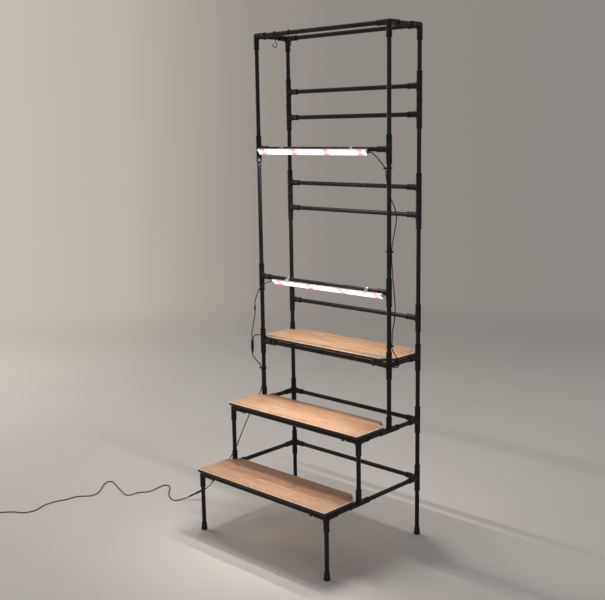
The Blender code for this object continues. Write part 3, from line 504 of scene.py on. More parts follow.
def prism(near, far):
    """A shape between two outlines, and the edges of its two ends."""
    shape = bmesh.new()
    near = [shape.verts.new(point) for point in near]
    far = [shape.verts.new(point) for point in far]
    ends = [shape.faces.new(near), shape.faces.new(far[::-1])]
    for corners in zip(near, after(near), after(far), far):
        shape.faces.new(corners)
    bmesh.ops.recalc_face_normals(shape, faces=shape.faces)
    return shape, list({edge for face in ends for edge in face.edges})


def pulled(outline, start, end, bevel=0):
    """An outline of (forward, up) points pulled along X, its rims rounded."""
    shape, rims = prism(*([(x, -forward, up) for forward, up in outline] for x in (start, end)))
    return rounded(shape, rims, bevel, 2) if bevel else shape


def sweep(rows, sides):
    """A round skin along (point, radius) rows, closed at both ends."""
    points = [point for point, _ in rows]
    runs = [(b - a).normalized() for a, b in pairwise(points)]
    runs = [runs[0]] + [(a + b).normalized() for a, b in pairwise(runs)] + [runs[-1]]
    helper = X if abs(runs[0].x) < 0.8 else Y
    first = (helper - helper.dot(runs[0]) * runs[0]).normalized()
    rings = []
    for (point, radius), run in zip(rows, runs):
        first = (first - first.dot(run) * run).normalized()
        rings.append(circle(point, first, run.cross(first), radius, sides))
    return stacked(rings)


def turned(start, axis, profile, sides=28):
    """A turned piece on any axis, from (distance, radius) pairs."""
    return sweep([(start + axis * distance, radius) for distance, radius in profile], sides)


def round_ended(points, radius, steps=4):
    """Rows for a wire that closes with half balls inside its own length."""

    def cap(end, inner):
        run = (inner - end).normalized()
        bends = [pi / 2 * step / steps for step in range(steps + 1)]
        return [
            (end + run * radius * (1 - cos(bend)), radius * max(0.02, sin(bend))) for bend in bends
        ]

    def room(point):
        return min((point - points[0]).length, (point - points[-1]).length)

    middle = [(point, radius) for point in points[1:-1] if room(point) > radius * 1.2]
    return cap(points[0], points[1]) + middle + cap(points[-1], points[-2])[::-1]


def smooth_line(route, spacing, divisions=24):
    """Points at even steps on a smooth curve through a route, straight at each end."""
    chain = [Vector(point) for point in route]
    fine = []
    for p0, p1, p2, p3 in zip(chain, chain[1:], chain[2:], chain[3:]):
        t1 = sqrt((p1 - p0).length)
        t2 = t1 + sqrt((p2 - p1).length)
        t3 = t2 + sqrt((p3 - p2).length)
        for division in range(divisions):
            t = t1 + (t2 - t1) * division / divisions
            middle = p1.lerp(p2, (t - t1) / (t2 - t1))
            earlier = p0.lerp(p1, t / t1).lerp(middle, t / t2)
            later = middle.lerp(p2.lerp(p3, (t - t2) / (t3 - t2)), (t - t1) / (t3 - t1))
            fine.append(earlier.lerp(later, (t - t1) / (t2 - t1)))
    fine.append(chain[-2])
    lengths = [0, *accumulate((b - a).length for a, b in pairwise(fine))]
    count = max(2, round(lengths[-1] / spacing))
    points = []
    for step in range(count + 1):
        wanted = lengths[-1] * step / count
        index = min(max(0, bisect_left(lengths, wanted) - 1), len(fine) - 2)
        share = (wanted - lengths[index]) / (lengths[index + 1] - lengths[index])
        points.append(fine[index].lerp(fine[index + 1], min(1, share)))
    return [chain[0], *points, chain[-1]]


def line_length(points):
    return sum((b - a).length for a, b in pairwise(points))


# ---- camera and room


def area_lamp(name, place, turn, **settings):
    """A soft lamp that the camera doesn't see."""
    lamp = bpy.data.lights.new(name, "AREA")
    for key, value in settings.items():
        setattr(lamp, key, value)
    holder = linked(name, lamp)
    holder.location = place
    holder.rotation_euler = turn.to_euler()
    holder.visible_camera = False
    return holder


def photo_camera():
    """The camera of the photograph, from its heading, pitch and roll."""
    camera = bpy.data.cameras.new("camera")
    camera.sensor_width = 36
    camera.lens = 57.02
    camera.clip_end = 60
    turn, down, roll = (radians(value) for value in (43.7556, 10.1559, -0.9143))
    pose = Matrix.Translation((2.3657, -2.4873, 1.5092)) @ Matrix.Rotation(turn, 4, "Z")
    pose = pose @ Matrix.Rotation(pi / 2 - down, 4, "X") @ Matrix.Rotation(roll, 4, "Z")
    eye = linked("camera", camera)
    eye.matrix_world = pose
    bpy.context.scene.camera = eye


def pale_floor(size):
    """A pale floor that fades into the backdrop."""
    mesh = bpy.data.meshes.new("floor")
    corners = [(-size, -size, 0), (size, -size, 0), (size, size, 0), (-size, size, 0)]
    mesh.from_pydata(corners, [], [(0, 1, 2, 3)])
    linked("floor", mesh)
    look = Look("pale_floor", Roughness=0.85, Specular_IOR_Level=0.15)
    cloud = look.noise(1.1)
    colour = look.ramp(cloud, (0.3, (0.8, 0.765, 0.715)), (0.7, (0.84, 0.805, 0.755)))
    look.feed(look.shader, "Base Color", colour)
    away = look.node("VectorMath", {0: look.place}, operation="LENGTH").outputs["Value"]
    fade = look.span(away, 0, 1, 1.7, 5.2, interpolation_type="SMOOTHSTEP")
    look.blended("Material Output", fade, look.shader, look.node("BsdfTransparent"))
    mesh.materials.append(look.material)


def backdrop():
    """A wall with painted light, brighter to the left and darker to the right, for the camera,
    gloss and glass; weak light for the rest.
    """
    world = bpy.data.worlds.new("studio")
    bpy.context.scene.world = world
    world.use_nodes = True
    graph = Graph(world.node_tree)
    light = graph.tree.nodes["Background"]
    graph.feed(light, "Color", (1, 0.985, 0.965, 1))
    graph.feed(light, "Strength", 0.1)
    heading = graph.node("TexCoord").outputs["Generated"]
    to_right = {0: heading, 1: (0.722, 0.692, 0)}
    side = graph.node("VectorMath", to_right, operation="DOT_PRODUCT").outputs["Value"]
    # Painted light: the wall is brighter to the left and darker to the right, as if lit from the
    # left
    wall = graph.ramp(
        graph.span(side, 0, 1, -0.32, 0.32), (0, (0.56, 0.52, 0.45)),
        (0.22, (0.49, 0.455, 0.395)), (0.42, (0.325, 0.3, 0.266)), (0.55, (0.28, 0.258, 0.232)),
        (1, (0.262, 0.243, 0.222)),
    )
    rays = graph.node("LightPath").outputs
    seen = graph.maths("MAXIMUM", rays["Is Camera Ray"], rays["Is Glossy Ray"])
    seen = graph.maths("MAXIMUM", seen, rays["Is Transmission Ray"])
    wall = graph.node("Background", {"Color": wall, "Strength": 1})
    graph.blended("World Output", seen, light, wall)


bpy.context.scene.view_settings.view_transform = "Standard"
photo_camera()
pale_floor(9)
backdrop()
for name, place, aim, size, energy, colour in (
    ("top", (-0.8, 0.5, 4.2), (-0.1, 0, 0.6), 0.7, 32, (1, 0.975, 0.945)),
    ("key", (-4.2, -0.3, 2.1), (-0.7, -0.4, 0.3), 2, 53, (1, 0.975, 0.945)),
    ("fill", (3.2, -2, 1.4), (0, 0, 0.9), 2.4, 24, (0.95, 0.97, 1)),
    ("rim", (1.2, 3.4, 1.9), (0, 0, 1), 2, 12, (1, 0.99, 0.98)),
):
    turn = (Vector(aim) - Vector(place)).to_track_quat("-Z", "Y")
    area_lamp(name, place, turn, energy=energy, color=colour, shape="SQUARE", size=size)


# ---- cords


def bar_end(rail_z, angle, lead_end, direction):
    """Where the lead leaves the gland at a bar's end."""
    forward, drop = polar(BAR_AXIS, angle)
    tip = lead_end + direction * (GLAND_LENGTH + TOUCH_GAP)
    return Vector((tip, TOWER_FRONT - forward, rail_z - drop))


SPLITTER_TOP = Vector((-0.3775, 0.083, 0.677))
SPLITTER_FOOT = SPLITTER_TOP - SPLITTER_LENGTH * Z
JACK_TOP = Vector((-0.359, 0.085, 0.821))
UPPER_END = SPLITTER_TOP + TOUCH_GAP * Z + (LEAD_DIAMETER + TOUCH_GAP) * X
UPPER_TIP = bar_end(UPPER_LIGHT_Z, UPPER_BAR_ANGLE, UPPER_START + BAR_LENGTH, 1)
UPPER_ROUTE = (
    UPPER_TIP,
    UPPER_TIP + 2 * LEAD_DIAMETER * X,
    (0.272, 0.0745, 1.41), (0.29, 0.076, 1.392), (0.302, 0.0775, 1.3785), (0.3088, 0.0788, 1.369),
    (0.3122, 0.0777, 1.345), (0.3215, 0.074, 1.31), (0.336, 0.0735, 1.27), (0.347, 0.08, 1.24),
    (0.351, 0.084, 1.212), (0.347, 0.0855, 1.178), (0.336, 0.0855, 1.13), (0.33, 0.085, 1.088),
    (0.331, 0.085, 1.048), (0.335, 0.085, 1), (0.341, 0.086, 0.94), (0.344, 0.087, 0.885),
    (0.339, 0.088, 0.842), (0.33, 0.089, 0.8), (0.3268, 0.0925, 0.775), (0.3215, 0.0972, 0.75),
    (0.3212, 0.1015, 0.7365), (0.3235, 0.107, 0.7245), (0.3262, 0.112, 0.716),
    (0.33, 0.1165, 0.707), (0.3322, 0.1205, 0.695), (0.3316, 0.124, 0.6815),
    (0.3262, 0.127, 0.6712), (0.316, 0.1285, 0.6675), (0.302, 0.1265, 0.667), (0.284, 0.12, 0.668),
    (0.262, 0.1115, 0.672), (0.242, 0.1045, 0.6765), (0.222, 0.099, 0.6792), (0.195, 0.0967, 0.68),
    (0.15, 0.0964, 0.68), (0.05, 0.0964, 0.68), (-0.05, 0.0964, 0.68), (-0.145, 0.0964, 0.68),
    (-0.185, 0.0973, 0.68), (-0.218, 0.0995, 0.68), (-0.245, 0.103, 0.6805), (-0.268, 0.106, 0.682),
    (-0.288, 0.1055, 0.6845), (-0.299, 0.102, 0.6875), (-0.306, 0.099, 0.6932),
    (-0.315, 0.1005, 0.6985), (-0.327, 0.101, 0.7005), (-0.34, 0.0985, 0.701), (-0.355, 0.093, 0.7),
    (-0.367, 0.087, 0.6965),
    UPPER_END + 2 * LEAD_DIAMETER * Z,
    UPPER_END,
)
TAIL_ROUTE = (
    SPLITTER_TOP,
    SPLITTER_TOP + 2 * LEAD_DIAMETER * Z,
    (-0.379, 0.083, 0.699), (-0.3745, 0.0835, 0.725), (-0.365, 0.0845, 0.765),
    JACK_TOP - (JACK_LENGTH + 2 * LEAD_DIAMETER) * Z,
    JACK_TOP - JACK_LENGTH * Z,
)
LOWER_TIP = bar_end(LOWER_LIGHT_Z, LOWER_BAR_ANGLE, LOWER_START - BAR_LENGTH, -1)
LOWER_END = JACK_TOP + TOUCH_GAP * Z
LOWER_ROUTE = (
    LOWER_TIP,
    LOWER_TIP - 2 * LEAD_DIAMETER * X,
    (-0.276, 0.0725, 0.9215), (-0.293, 0.0705, 0.911), (-0.309, 0.0715, 0.899),
    (-0.324, 0.074, 0.886), (-0.337, 0.0775, 0.869), (-0.349, 0.0815, 0.852),
    LOWER_END + 3 * LEAD_DIAMETER * Z,
    LOWER_END,
)
PLUG_START = Vector((-0.539, -0.056, 0.047))
PLUG_AXIS = (Vector((-0.5965, -0.1005, 0.01)) - PLUG_START).normalized()
SUPPLY_START = SPLITTER_FOOT - TOUCH_GAP * Z
SUPPLY_END = PLUG_START - TOUCH_GAP * PLUG_AXIS
SUPPLY_ROUTE = (
    SUPPLY_START,
    SUPPLY_START - 2 * CORD_DIAMETER * Z,
    (-0.356, 0.084, 0.5975), (-0.338, 0.0855, 0.583), (-0.3305, 0.0865, 0.565),
    (-0.33, 0.087, 0.53), (-0.333, 0.087, 0.49), (-0.348, 0.077, 0.445), (-0.376, 0.0565, 0.376),
    (-0.401, 0.039, 0.306), (-0.427, 0.021, 0.229), (-0.464, -0.005, 0.154),
    (-0.502, -0.031, 0.092),
    SUPPLY_END - 2 * CORD_DIAMETER * PLUG_AXIS,
    SUPPLY_END,
)
PLUG_END = PLUG_START + PLUG_LENGTH * PLUG_AXIS
FLOOR_START = PLUG_END + TOUCH_GAP * PLUG_AXIS
FLOOR_Z = CORD_DIAMETER / 2
FLOOR_PLACES = (
    (-0.625, -0.145), (-0.657, -0.143), (-0.704, -0.116), (-0.749, -0.074), (-0.78, -0.058),
    (-0.7955, -0.069), (-0.7935, -0.093), (-0.786, -0.159), (-0.811, -0.193), (-0.8125, -0.23),
    (-0.825, -0.244), (-0.867, -0.235), (-0.973, -0.199), (-1.001, -0.192), (-1.0145, -0.204),
    (-1.006, -0.227), (-0.938, -0.31), (-0.931, -0.345), (-0.97, -0.395), (-0.975, -0.444),
    (-0.989, -0.479), (-0.99, -0.535), (-0.969, -0.591), (-0.982, -0.632), (-1.026, -0.661),
    (-1.059, -0.697),
)
COIL_START = Vector((-1.098, -0.743, FLOOR_Z))
COIL_HEADING = Vector((-0.65, -0.76, 0)).normalized()
COIL_SIDE = Vector((-COIL_HEADING.y, COIL_HEADING.x, 0))
COIL_CENTRE = COIL_START + COIL_SIDE * COIL_OUTER_RADIUS + COIL_HEADING * CORD_DIAMETER
FLOOR_END = COIL_START - TOUCH_GAP * COIL_HEADING
FLOOR_ROUTE = (
    FLOOR_START,
    FLOOR_START + 2 * CORD_DIAMETER * PLUG_AXIS,
    *((x, y, FLOOR_Z) for x, y in FLOOR_PLACES),
    FLOOR_END - 2 * CORD_DIAMETER * COIL_HEADING,
    FLOOR_END,
)


def coil_line():
    """Two turns spiral in on the floor, two spiral out above them."""
    points = [COIL_START]
    for step in range(COIL_TURNS * COIL_LOOP_POINTS + 1):
        turn = step / COIL_LOOP_POINTS
        radius = COIL_OUTER_RADIUS - min(turn, COIL_TURNS - turn) * COIL_PITCH
        climb = min(1, max(0, (turn - COIL_TURNS / 2) * 2 + 0.5))
        wide, high = polar(1, 2 * pi * turn)
        flat = COIL_CENTRE - COIL_SIDE * radius * wide + COIL_HEADING * radius * high
        points.append(flat + climb * COIL_PITCH * Z)
    return [*points, points[-1] + COIL_HEADING * COIL_TAIL]


def cord_piece(name, points, diameter, *nodes, body="stand"):
    rows = [(point, diameter / 2) for point in points]
    return add(name, sweep(rows, 16), SHEATH, "cord", *nodes, body=body, sharp=60)


upper_points = smooth_line(UPPER_ROUTE, 0.006)
lower_points = smooth_line(LOWER_ROUTE, 0.005)
tail_points = smooth_line(TAIL_ROUTE, 0.005)
supply_points = smooth_line(SUPPLY_ROUTE, 0.006)
wall_points = smooth_line(FLOOR_ROUTE, 0.006)[:-1] + coil_line()

upper_lead = cord_piece(
    "upper_light_lead", upper_points, LEAD_DIAMETER, "light_upper_lead", body=None
)
lower_lead = cord_piece(
    "lower_light_lead", lower_points, LEAD_DIAMETER, "light_lower_lead", body=None
)
tail_cord = cord_piece("splitter_tail", tail_points, LEAD_DIAMETER)
supply_cord = cord_piece("supply_cord", supply_points, CORD_DIAMETER, "supply_lead")
wall_cord = cord_piece("wall_cord", wall_points, CORD_DIAMETER, "floor_cord", "cord_coil")
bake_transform(upper_lead)
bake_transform(lower_lead)


def ribbed(start, ribs, length, low, high):
    """Radii of a grip with rounded ribs."""
    return [
        (start + index * length + length * share, radius)
        for index in range(ribs)
        for share, radius in ((0.1, low), (0.28, high), (0.72, high), (0.9, low))
    ]


def plug_piece(name, start, axis, profile, *nodes):
    return add(name, turned(start, axis, profile), PLASTIC, "plug", *nodes, sharp=50)


lead_plug = plug_piece(
    "lead_plug", JACK_TOP, -Z,
    [(0, 0.0022), (0.0015, 0.0027)]
    + ribbed(0.002, 3, 0.0019, 0.0028, 0.0032)
    + [(0.008, 0.0031), (0.0086, 0.0033), (0.0112, 0.0033), (0.0115, 0.003)],
)
lead_socket = plug_piece(
    "lead_socket", JACK_TOP, -Z,
    [(0.0118, 0.003), (0.0121, 0.0033), (0.015, 0.0033)]
    + ribbed(0.0156, 3, 0.002, 0.0028, 0.0032)
    + [(0.0225, 0.0026), (0.024, 0.0022)],
)
splitter = plug_piece(
    "lead_splitter", SPLITTER_TOP, -Z,
    [(0, 0.004), (0.0006, 0.0052), (0.0014, 0.00575), (0.03, 0.00575)]
    + [(0.031, 0.0055), (0.0325, 0.0054)]
    + ribbed(0.0335, 4, 0.003, 0.0044, 0.0052)
    + [(0.0465, 0.0045), (0.05, 0.0036), (0.054, 0.0026)],
    "splitter",
)
connector = plug_piece(
    "cord_joint", PLUG_START, PLUG_AXIS,
    [(0, 0.0033), (0.0006, 0.0041), (0.0015, 0.00475), (0.018, 0.00475), (0.0184, 0.0042)]
    + [(0.0196, 0.0042), (0.02, 0.00475), (0.04, 0.00475), (0.041, 0.0044)]
    + ribbed(0.042, 6, 0.0048, 0.0033, 0.0039)
    + [(0.073, 0.003), (0.078, 0.00265)],
    "cord_connector",
)

# The wall adapter on the end of the wound cord: two half shells on a set-back seam, two blades
adapter_face = wall_points[-1] + TOUCH_GAP * COIL_HEADING
adapter_pose = Matrix.Translation((*adapter_face.xy, ADAPTER_SIZE.z / 2))
adapter_pose = adapter_pose @ Matrix.Rotation(atan2(COIL_HEADING.y, COIL_HEADING.x), 4, "Z")
wide, high = ADAPTER_SIZE.yz / 2
case = merged(
    block((start, inset - wide, inset - high), (end, wide - inset, high - inset), bevel, segments)
    for start, end, inset, bevel, segments in (
        (0, 0.0215, 0, 0.003, 4),
        (0.0212, 0.0224, 0.0004, 0.0004, 1),
        (0.0221, ADAPTER_SIZE.x, 0, 0.003, 4),
    )
)
adapter = add("plug_adapter", case, PLASTIC, "plug", "wall_adapter", pose=adapter_pose)
blades = merged(
    block((0.0425, y - 0.00075, -0.00315), (0.06, y + 0.00075, 0.00315), 0.0003, 2)
    for y in (-0.00635, 0.00635)
)
adapter_blades = add("adapter_blades", blades, BLADE, "plug", pose=adapter_pose)


def tie(name, centre, axis, first, circles, width, knobs=(), thick=0.0008):
    """A flat band pulled round circles that lie side by side, square to an axis."""
    second = axis.cross(first)
    half = width / 2

    def rim(heading, extra):
        best = max(circles, key=lambda circle: Vector(circle[:2]).dot(heading) + circle[2])
        return Vector(best[:2]) + heading * (best[2] + extra)

    def placed(spot, along=0):
        return centre + first * spot.x + second * spot.y + axis * along

    inner, outer = TIE_SLACK, TIE_SLACK + thick
    lines = [
        [placed(rim(Vector(heading), extra), along) for heading in turns(40)]
        for extra, along in ((inner, -half), (outer, -half), (outer, half), (inner, half))
    ]
    skin = Skin()
    for line, following in zip(lines, after(lines)):
        skin.band(line, following)
    parts = [skin.shape()]
    for degrees, out, wide in knobs:
        heading = Vector(polar(1, radians(degrees)))
        outward = first * heading.x + second * heading.y
        pose = Matrix((outward, axis.cross(outward), axis)).transposed().to_4x4()
        pose.translation = placed(rim(heading, TIE_SLACK + thick / 2))
        high = half + 0.0006
        tail = half * 0.7
        for part in (
            block((-0.0004, -wide, -high), (out, wide, high), 0.0006, 2),
            block((0.0008, wide * 0.7, -tail), (0.0019, wide * 2.4, tail), 0.0003, 1),
        ):
            bmesh.ops.transform(part, matrix=pose, verts=part.verts)
            parts.append(part)
    return add(name, merged(parts), NYLON, "plug")


def passing(points, height):
    """Where a cord that runs down passes a height."""
    for a, b in pairwise(points):
        if (a.z - height) * (b.z - height) <= 0 and a.z != b.z:
            return a.lerp(b, (a.z - height) / (a.z - b.z))
    return points[0]


# How far a tie's knob or cut end stands out, and half its width
KNOB = (0.0042, 0.0029)
STUB = (0.0024, 0.0018)
for number, (x, height, lead, diameter, knobs) in enumerate(
    (
        (RIGHT, 1.3715, upper_points, LEAD_DIAMETER, ((224, *KNOB), (44, *STUB))),
        (RIGHT, 1.087, upper_points, LEAD_DIAMETER, ((44, *KNOB), (224, *STUB))),
        (RIGHT, 0.752, upper_points, LEAD_DIAMETER, ((44, *KNOB),)),
        (LEFT, 0.89, lower_points, LEAD_DIAMETER, ((44, *STUB),)),
        (LEFT, 0.5705, supply_points, CORD_DIAMETER, ((224, *KNOB), (44, *STUB))),
    ),
    1,
):
    spot = passing(lead, height)
    circles = [(0, 0, TUBE_RADIUS), (spot.x - x, spot.y - TOWER_FRONT, diameter / 2)]
    centre = Vector((x, TOWER_FRONT, height))
    tie(f"post_tie_{number}", centre, Z, X, circles, 0.0044, knobs, 0.0014)
for number, x in enumerate((0.145, 0, -0.145), 1):
    circles = [(0, 0, TUBE_RADIUS), (0.0099, -0.003, LEAD_DIAMETER / 2)]
    centre = Vector((x, TOWER_FRONT, SHELF_Z))
    tie(f"rail_tie_{number}", centre, X, Y, circles, 0.0026, ((-25, *STUB),))
coil_tie = tie(
    "coil_tie",
    COIL_CENTRE + COIL_SIDE * (COIL_OUTER_RADIUS - COIL_PITCH) + Z * COIL_PITCH / 2,
    COIL_HEADING, COIL_SIDE,
    [(x * COIL_PITCH, y * COIL_PITCH, CORD_DIAMETER / 2) for y in (-0.5, 0.5) for x in (-1, 1)],
    0.005,
)
# The coil's tie lies flat on the floor
for vertex in coil_tie.data.vertices:
    if vertex.co.z < 0.0003:
        vertex.co.z = 0.0001 if vertex.co.z < -0.0007 else 0.0003

adapter_pieces = [adapter, adapter_blades, coil_tie]
for piece, start, points, diameter, far_end, lay, others in (
    (upper_lead, UPPER_TIP, upper_points, LEAD_DIAMETER, "connector", "hanging", [splitter]),
    (tail_cord, SPLITTER_TOP, tail_points, LEAD_DIAMETER, "connector", "hanging", [lead_socket]),
    (lower_lead, LOWER_TIP, lower_points, LEAD_DIAMETER, "connector", "hanging", [lead_plug]),
    (supply_cord, SPLITTER_FOOT, supply_points, CORD_DIAMETER, "connector", "hanging", [connector]),
    (wall_cord, PLUG_END, wall_points, CORD_DIAMETER, "plug", "loose", adapter_pieces),
):
    round(line_length(points), 3)
    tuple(start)
    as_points(points)
    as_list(others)


# ---- frame of tubes


def reach(direction, arms):
    """How far a fitting's skin is from its centre: round arms with webs where they meet."""
    total = 0
    for arm in arms:
        along = direction.dot(arm)
        if along > 0:
            total += (1 / sqrt(max(1e-9, 1 - along * along)) - 1) ** WEB_POWER
    return BODY_RADIUS * (1 + total ** (1 / WEB_POWER))


def web_ring(arm, distance, arms):
    """The skin's ring round an arm at a distance from the fitting's centre."""
    first, second = across(arm)
    points = []
    for wide, high in turns():
        heading = wide * first + high * second
        near, far = BODY_RADIUS * 0.5, BODY_RADIUS * 3
        for _ in range(22):
            middle = (near + far) / 2
            point = distance * arm + middle * heading
            if point.length < reach(point / point.length, arms):
                near = middle
            else:
                far = middle
        points.append(distance * arm + near * heading)
    return points


def skin_point(direction, arms):
    direction = direction.normalized()
    return direction * reach(direction, arms)


# An arm's skin from its webs to its mouth, as (distance, radius)
BEAD = (
    (0.0438, BODY_RADIUS), (0.0444, (BODY_RADIUS + BEAD_RADIUS) / 2), (0.045, BEAD_RADIUS),
    (0.0484, BEAD_RADIUS), (FITTING_ARM, BEAD_EDGE),
)


def fitting_rows(side, arms):
    """Rings of an arm, or rows of a closed side's patch, round the fitting's own centre."""
    first, second = across(side)
    if side not in arms:
        steps = range(QUARTER + 1)
        slopes = [tan(pi / 2 * step / QUARTER - pi / 4) for step in steps]
        return [
            [skin_point(side + low * first + high * second, arms) for high in slopes]
            for low in slopes
        ]
    root = [
        skin_point(side + (wide * first + high * second) / max(abs(wide), abs(high)), arms)
        for wide, high in turns()
    ]
    webs = [web_ring(side, distance, arms) for distance in (0.016, 0.0195, 0.0245, 0.032)]
    return [root, *webs, *(ring(distance * side, side, radius) for distance, radius in BEAD)]


known_fittings = {}


def fitting(skin, centre, arms):
    key = tuple(side in arms for side in SIDES)
    if key not in known_fittings:
        known_fittings[key] = [fitting_rows(side, arms) for side in SIDES]
    skin.look = 1
    for side, rows in zip(SIDES, known_fittings[key]):
        rows = [[centre + point for point in row] for row in rows]
        if side not in arms:
            for low, high in pairwise(rows):
                for points in zip(low, high, high[1:], low[1:]):
                    skin.face(points)
            continue
        if not side.z:
            depths = (FITTING_ARM, FITTING_ARM - SOCKET_DEPTH)
            rows += [ring(centre + depth * side, side, BORE_RADIUS) for depth in depths]
            skin.face(rows[-1])
        skin.bands(rows)


def upright(name, node, x, y, levels, foot_z):
    """A post: fittings joined by tube, from the bottom up."""
    skin = Skin()
    spans = [(low + FITTING_ARM, high - FITTING_ARM) for (low, _), (high, _) in pairwise(levels)]
    if foot_z is not None:
        spans.append((foot_z, levels[0][0] - FITTING_ARM))
    for height, arms in levels:
        fitting(skin, Vector((x, y, height)), arms)
    for heights in spans:
        if heights[1] - heights[0] < 1e-4:
            continue
        centres = [Vector((x, y, height)) for height in heights]
        ends = [ring(centre, Z, TUBE_RADIUS) for centre in centres]
        for height, centre, end in zip(heights, centres, ends):
            skin.look = int(height != foot_z)
            if skin.look:
                skin.band(ring(centre, Z, BEAD_EDGE), end)
            else:
                skin.face(end)
        skin.look = 0
        skin.band(*ends)
    add(name, skin.shape(), (TUBE, FITTING), "post", node)


def rail(node, start, side, spacing):
    """A level tube whose ends sit in two sockets."""
    seat = FITTING_ARM - SOCKET_DEPTH + TOUCH_GAP
    start = Vector(start)
    ends = [(seat, TUBE_CHAMFER), (seat + TUBE_CHAMFER, 0)]
    ends += [(spacing - distance, cut) for distance, cut in ends[::-1]]
    rings = [ring(start + side * distance, side, TUBE_RADIUS - cut) for distance, cut in ends]
    add(f"tube_{node}", stacked(rings), TUBE, "rail", node)


for side_name, x, inward in (("left", LEFT, X), ("right", RIGHT, -X)):
    tee = (Z, -Z, inward)
    corner = (*tee, -Y)
    top = (-Z, inward, Y)
    level = (Z, Y, -Y)
    back = [(z, corner) for z in (LOW_Z, MIDDLE_Z, SHELF_Z)] + [(z, tee) for z in LADDER_ZS]
    back += [(TOP_Z, (-Z, inward, -Y))]
    tower = [(MIDDLE_Z, level), (SHELF_Z, (*tee, Y)), (LOWER_LIGHT_Z, tee)]
    tower += [(UPPER_LIGHT_Z, tee), (TOP_Z, top)]
    for name, node, y, levels, foot_z in (
        ("upright_back", "back_post", BACK, back, FOOT_SEAT),
        ("upright_tower", "tower_post", TOWER_FRONT, tower, None),
        ("upright_middle", "middle_post", MIDDLE, [(LOW_Z, level), (MIDDLE_Z, top)], None),
        ("leg_front", "front_leg", FRONT, [(LOW_Z, top)], FOOT_SEAT),
    ):
        upright(f"{name}_{side_name}", f"{node}_{side_name}", x, y, levels, foot_z)
    for node, y, z, steps in (
        (f"top_rail_{side_name}", TOWER_FRONT, TOP_Z, 1),
        (f"shelf_rail_{side_name}", TOWER_FRONT, SHELF_Z, 1),
        (f"middle_rail_{side_name}_back", TOWER_FRONT, MIDDLE_Z, 1),
        (f"middle_rail_{side_name}_front", MIDDLE, MIDDLE_Z, 1),
        (f"low_rail_{side_name}_back", MIDDLE, LOW_Z, 2),
        (f"low_rail_{side_name}_front", FRONT, LOW_Z, 1),
    ):
        rail(node, (x, y, z), Y, steps * STEP_DEPTH)

for node, y, z in (
    ("top_rail_front", TOWER_FRONT, TOP_Z), ("top_rail_back", BACK, TOP_Z),
    ("light_rail_upper", TOWER_FRONT, UPPER_LIGHT_Z),
    ("light_rail_lower", TOWER_FRONT, LOWER_LIGHT_Z),
    *((f"ladder_rail_{number}", BACK, height) for number, height in enumerate(LADDER_ZS, 1)),
    ("shelf_rail_front", TOWER_FRONT, SHELF_Z), ("shelf_rail_back", BACK, SHELF_Z),
    ("middle_rail_front", MIDDLE, MIDDLE_Z), ("middle_rail_back", BACK, MIDDLE_Z),
    ("low_rail_front", FRONT, LOW_Z), ("low_rail_back", BACK, LOW_Z),
):
    rail(node, (LEFT, y, z), X, RIGHT - LEFT)

# Feet: rubber caps with a flare, two grip rings and a rounded rim, as (height, radius)
FOOT_PROFILE = (
    (0.004, BORE_RADIUS), (0.025, BORE_RADIUS), (0.025, 0.0098), (0.0246, 0.01025),
    (0.0215, 0.01025), (0.0212, 0.0099), (0.0204, 0.0099), (0.0201, 0.01025), (0.018, 0.01025),
    (0.0177, 0.0099), (0.0169, 0.0099), (0.0166, 0.01025), (0.0118, 0.01028), (0.0095, 0.01055),
    (0.0072, 0.0112), (0.0052, 0.01185), (0.004, 0.012), (0.0008, 0.012), (0.0002, 0.01175),
    (0, 0.0112),
)
for depth_name, y in (("front", FRONT), ("back", BACK)):
    for side_name, x in (("left", LEFT), ("right", RIGHT)):
        rings = [ring(Vector((x, y, z)), Z, radius, 40) for z, radius in FOOT_PROFILE]
        node = f"foot_{depth_name}_{side_name}"
        add(f"cap_{node}", stacked(rings), RUBBER, "foot", node, sharp=45)


# ---- boards


def board_clip_outline():
    """A C that is open below, with lips at its mouth and a neck to the board."""
    mouth = CLIP_MOUTH_ANGLE - pi / 2
    outer = BORE_RADIUS + CLIP_WALL
    right = [polar(outer + 0.0018, mouth), polar(outer + 0.002, mouth + radians(5))]
    right += arc(outer, mouth + CLIP_LIP_ANGLE, CLIP_NECK_ANGLE, 14)
    right += [(0.005, BOARD_SEAT + 0.0006)]
    left = [(-forward, up) for forward, up in right]
    return arc(BORE_RADIUS, mouth, pi - mouth, 36) + left + right[::-1]


# A dished screw head, as (height, radius)
SCREW_PROFILE = (
    (0, 0.0039), (0.0003, 0.004), (0.0009, 0.0036), (0.0012, 0.0027), (0.00125, 0.0015),
    (0.0006, 0.0013), (0.0006, 0.0002),
)


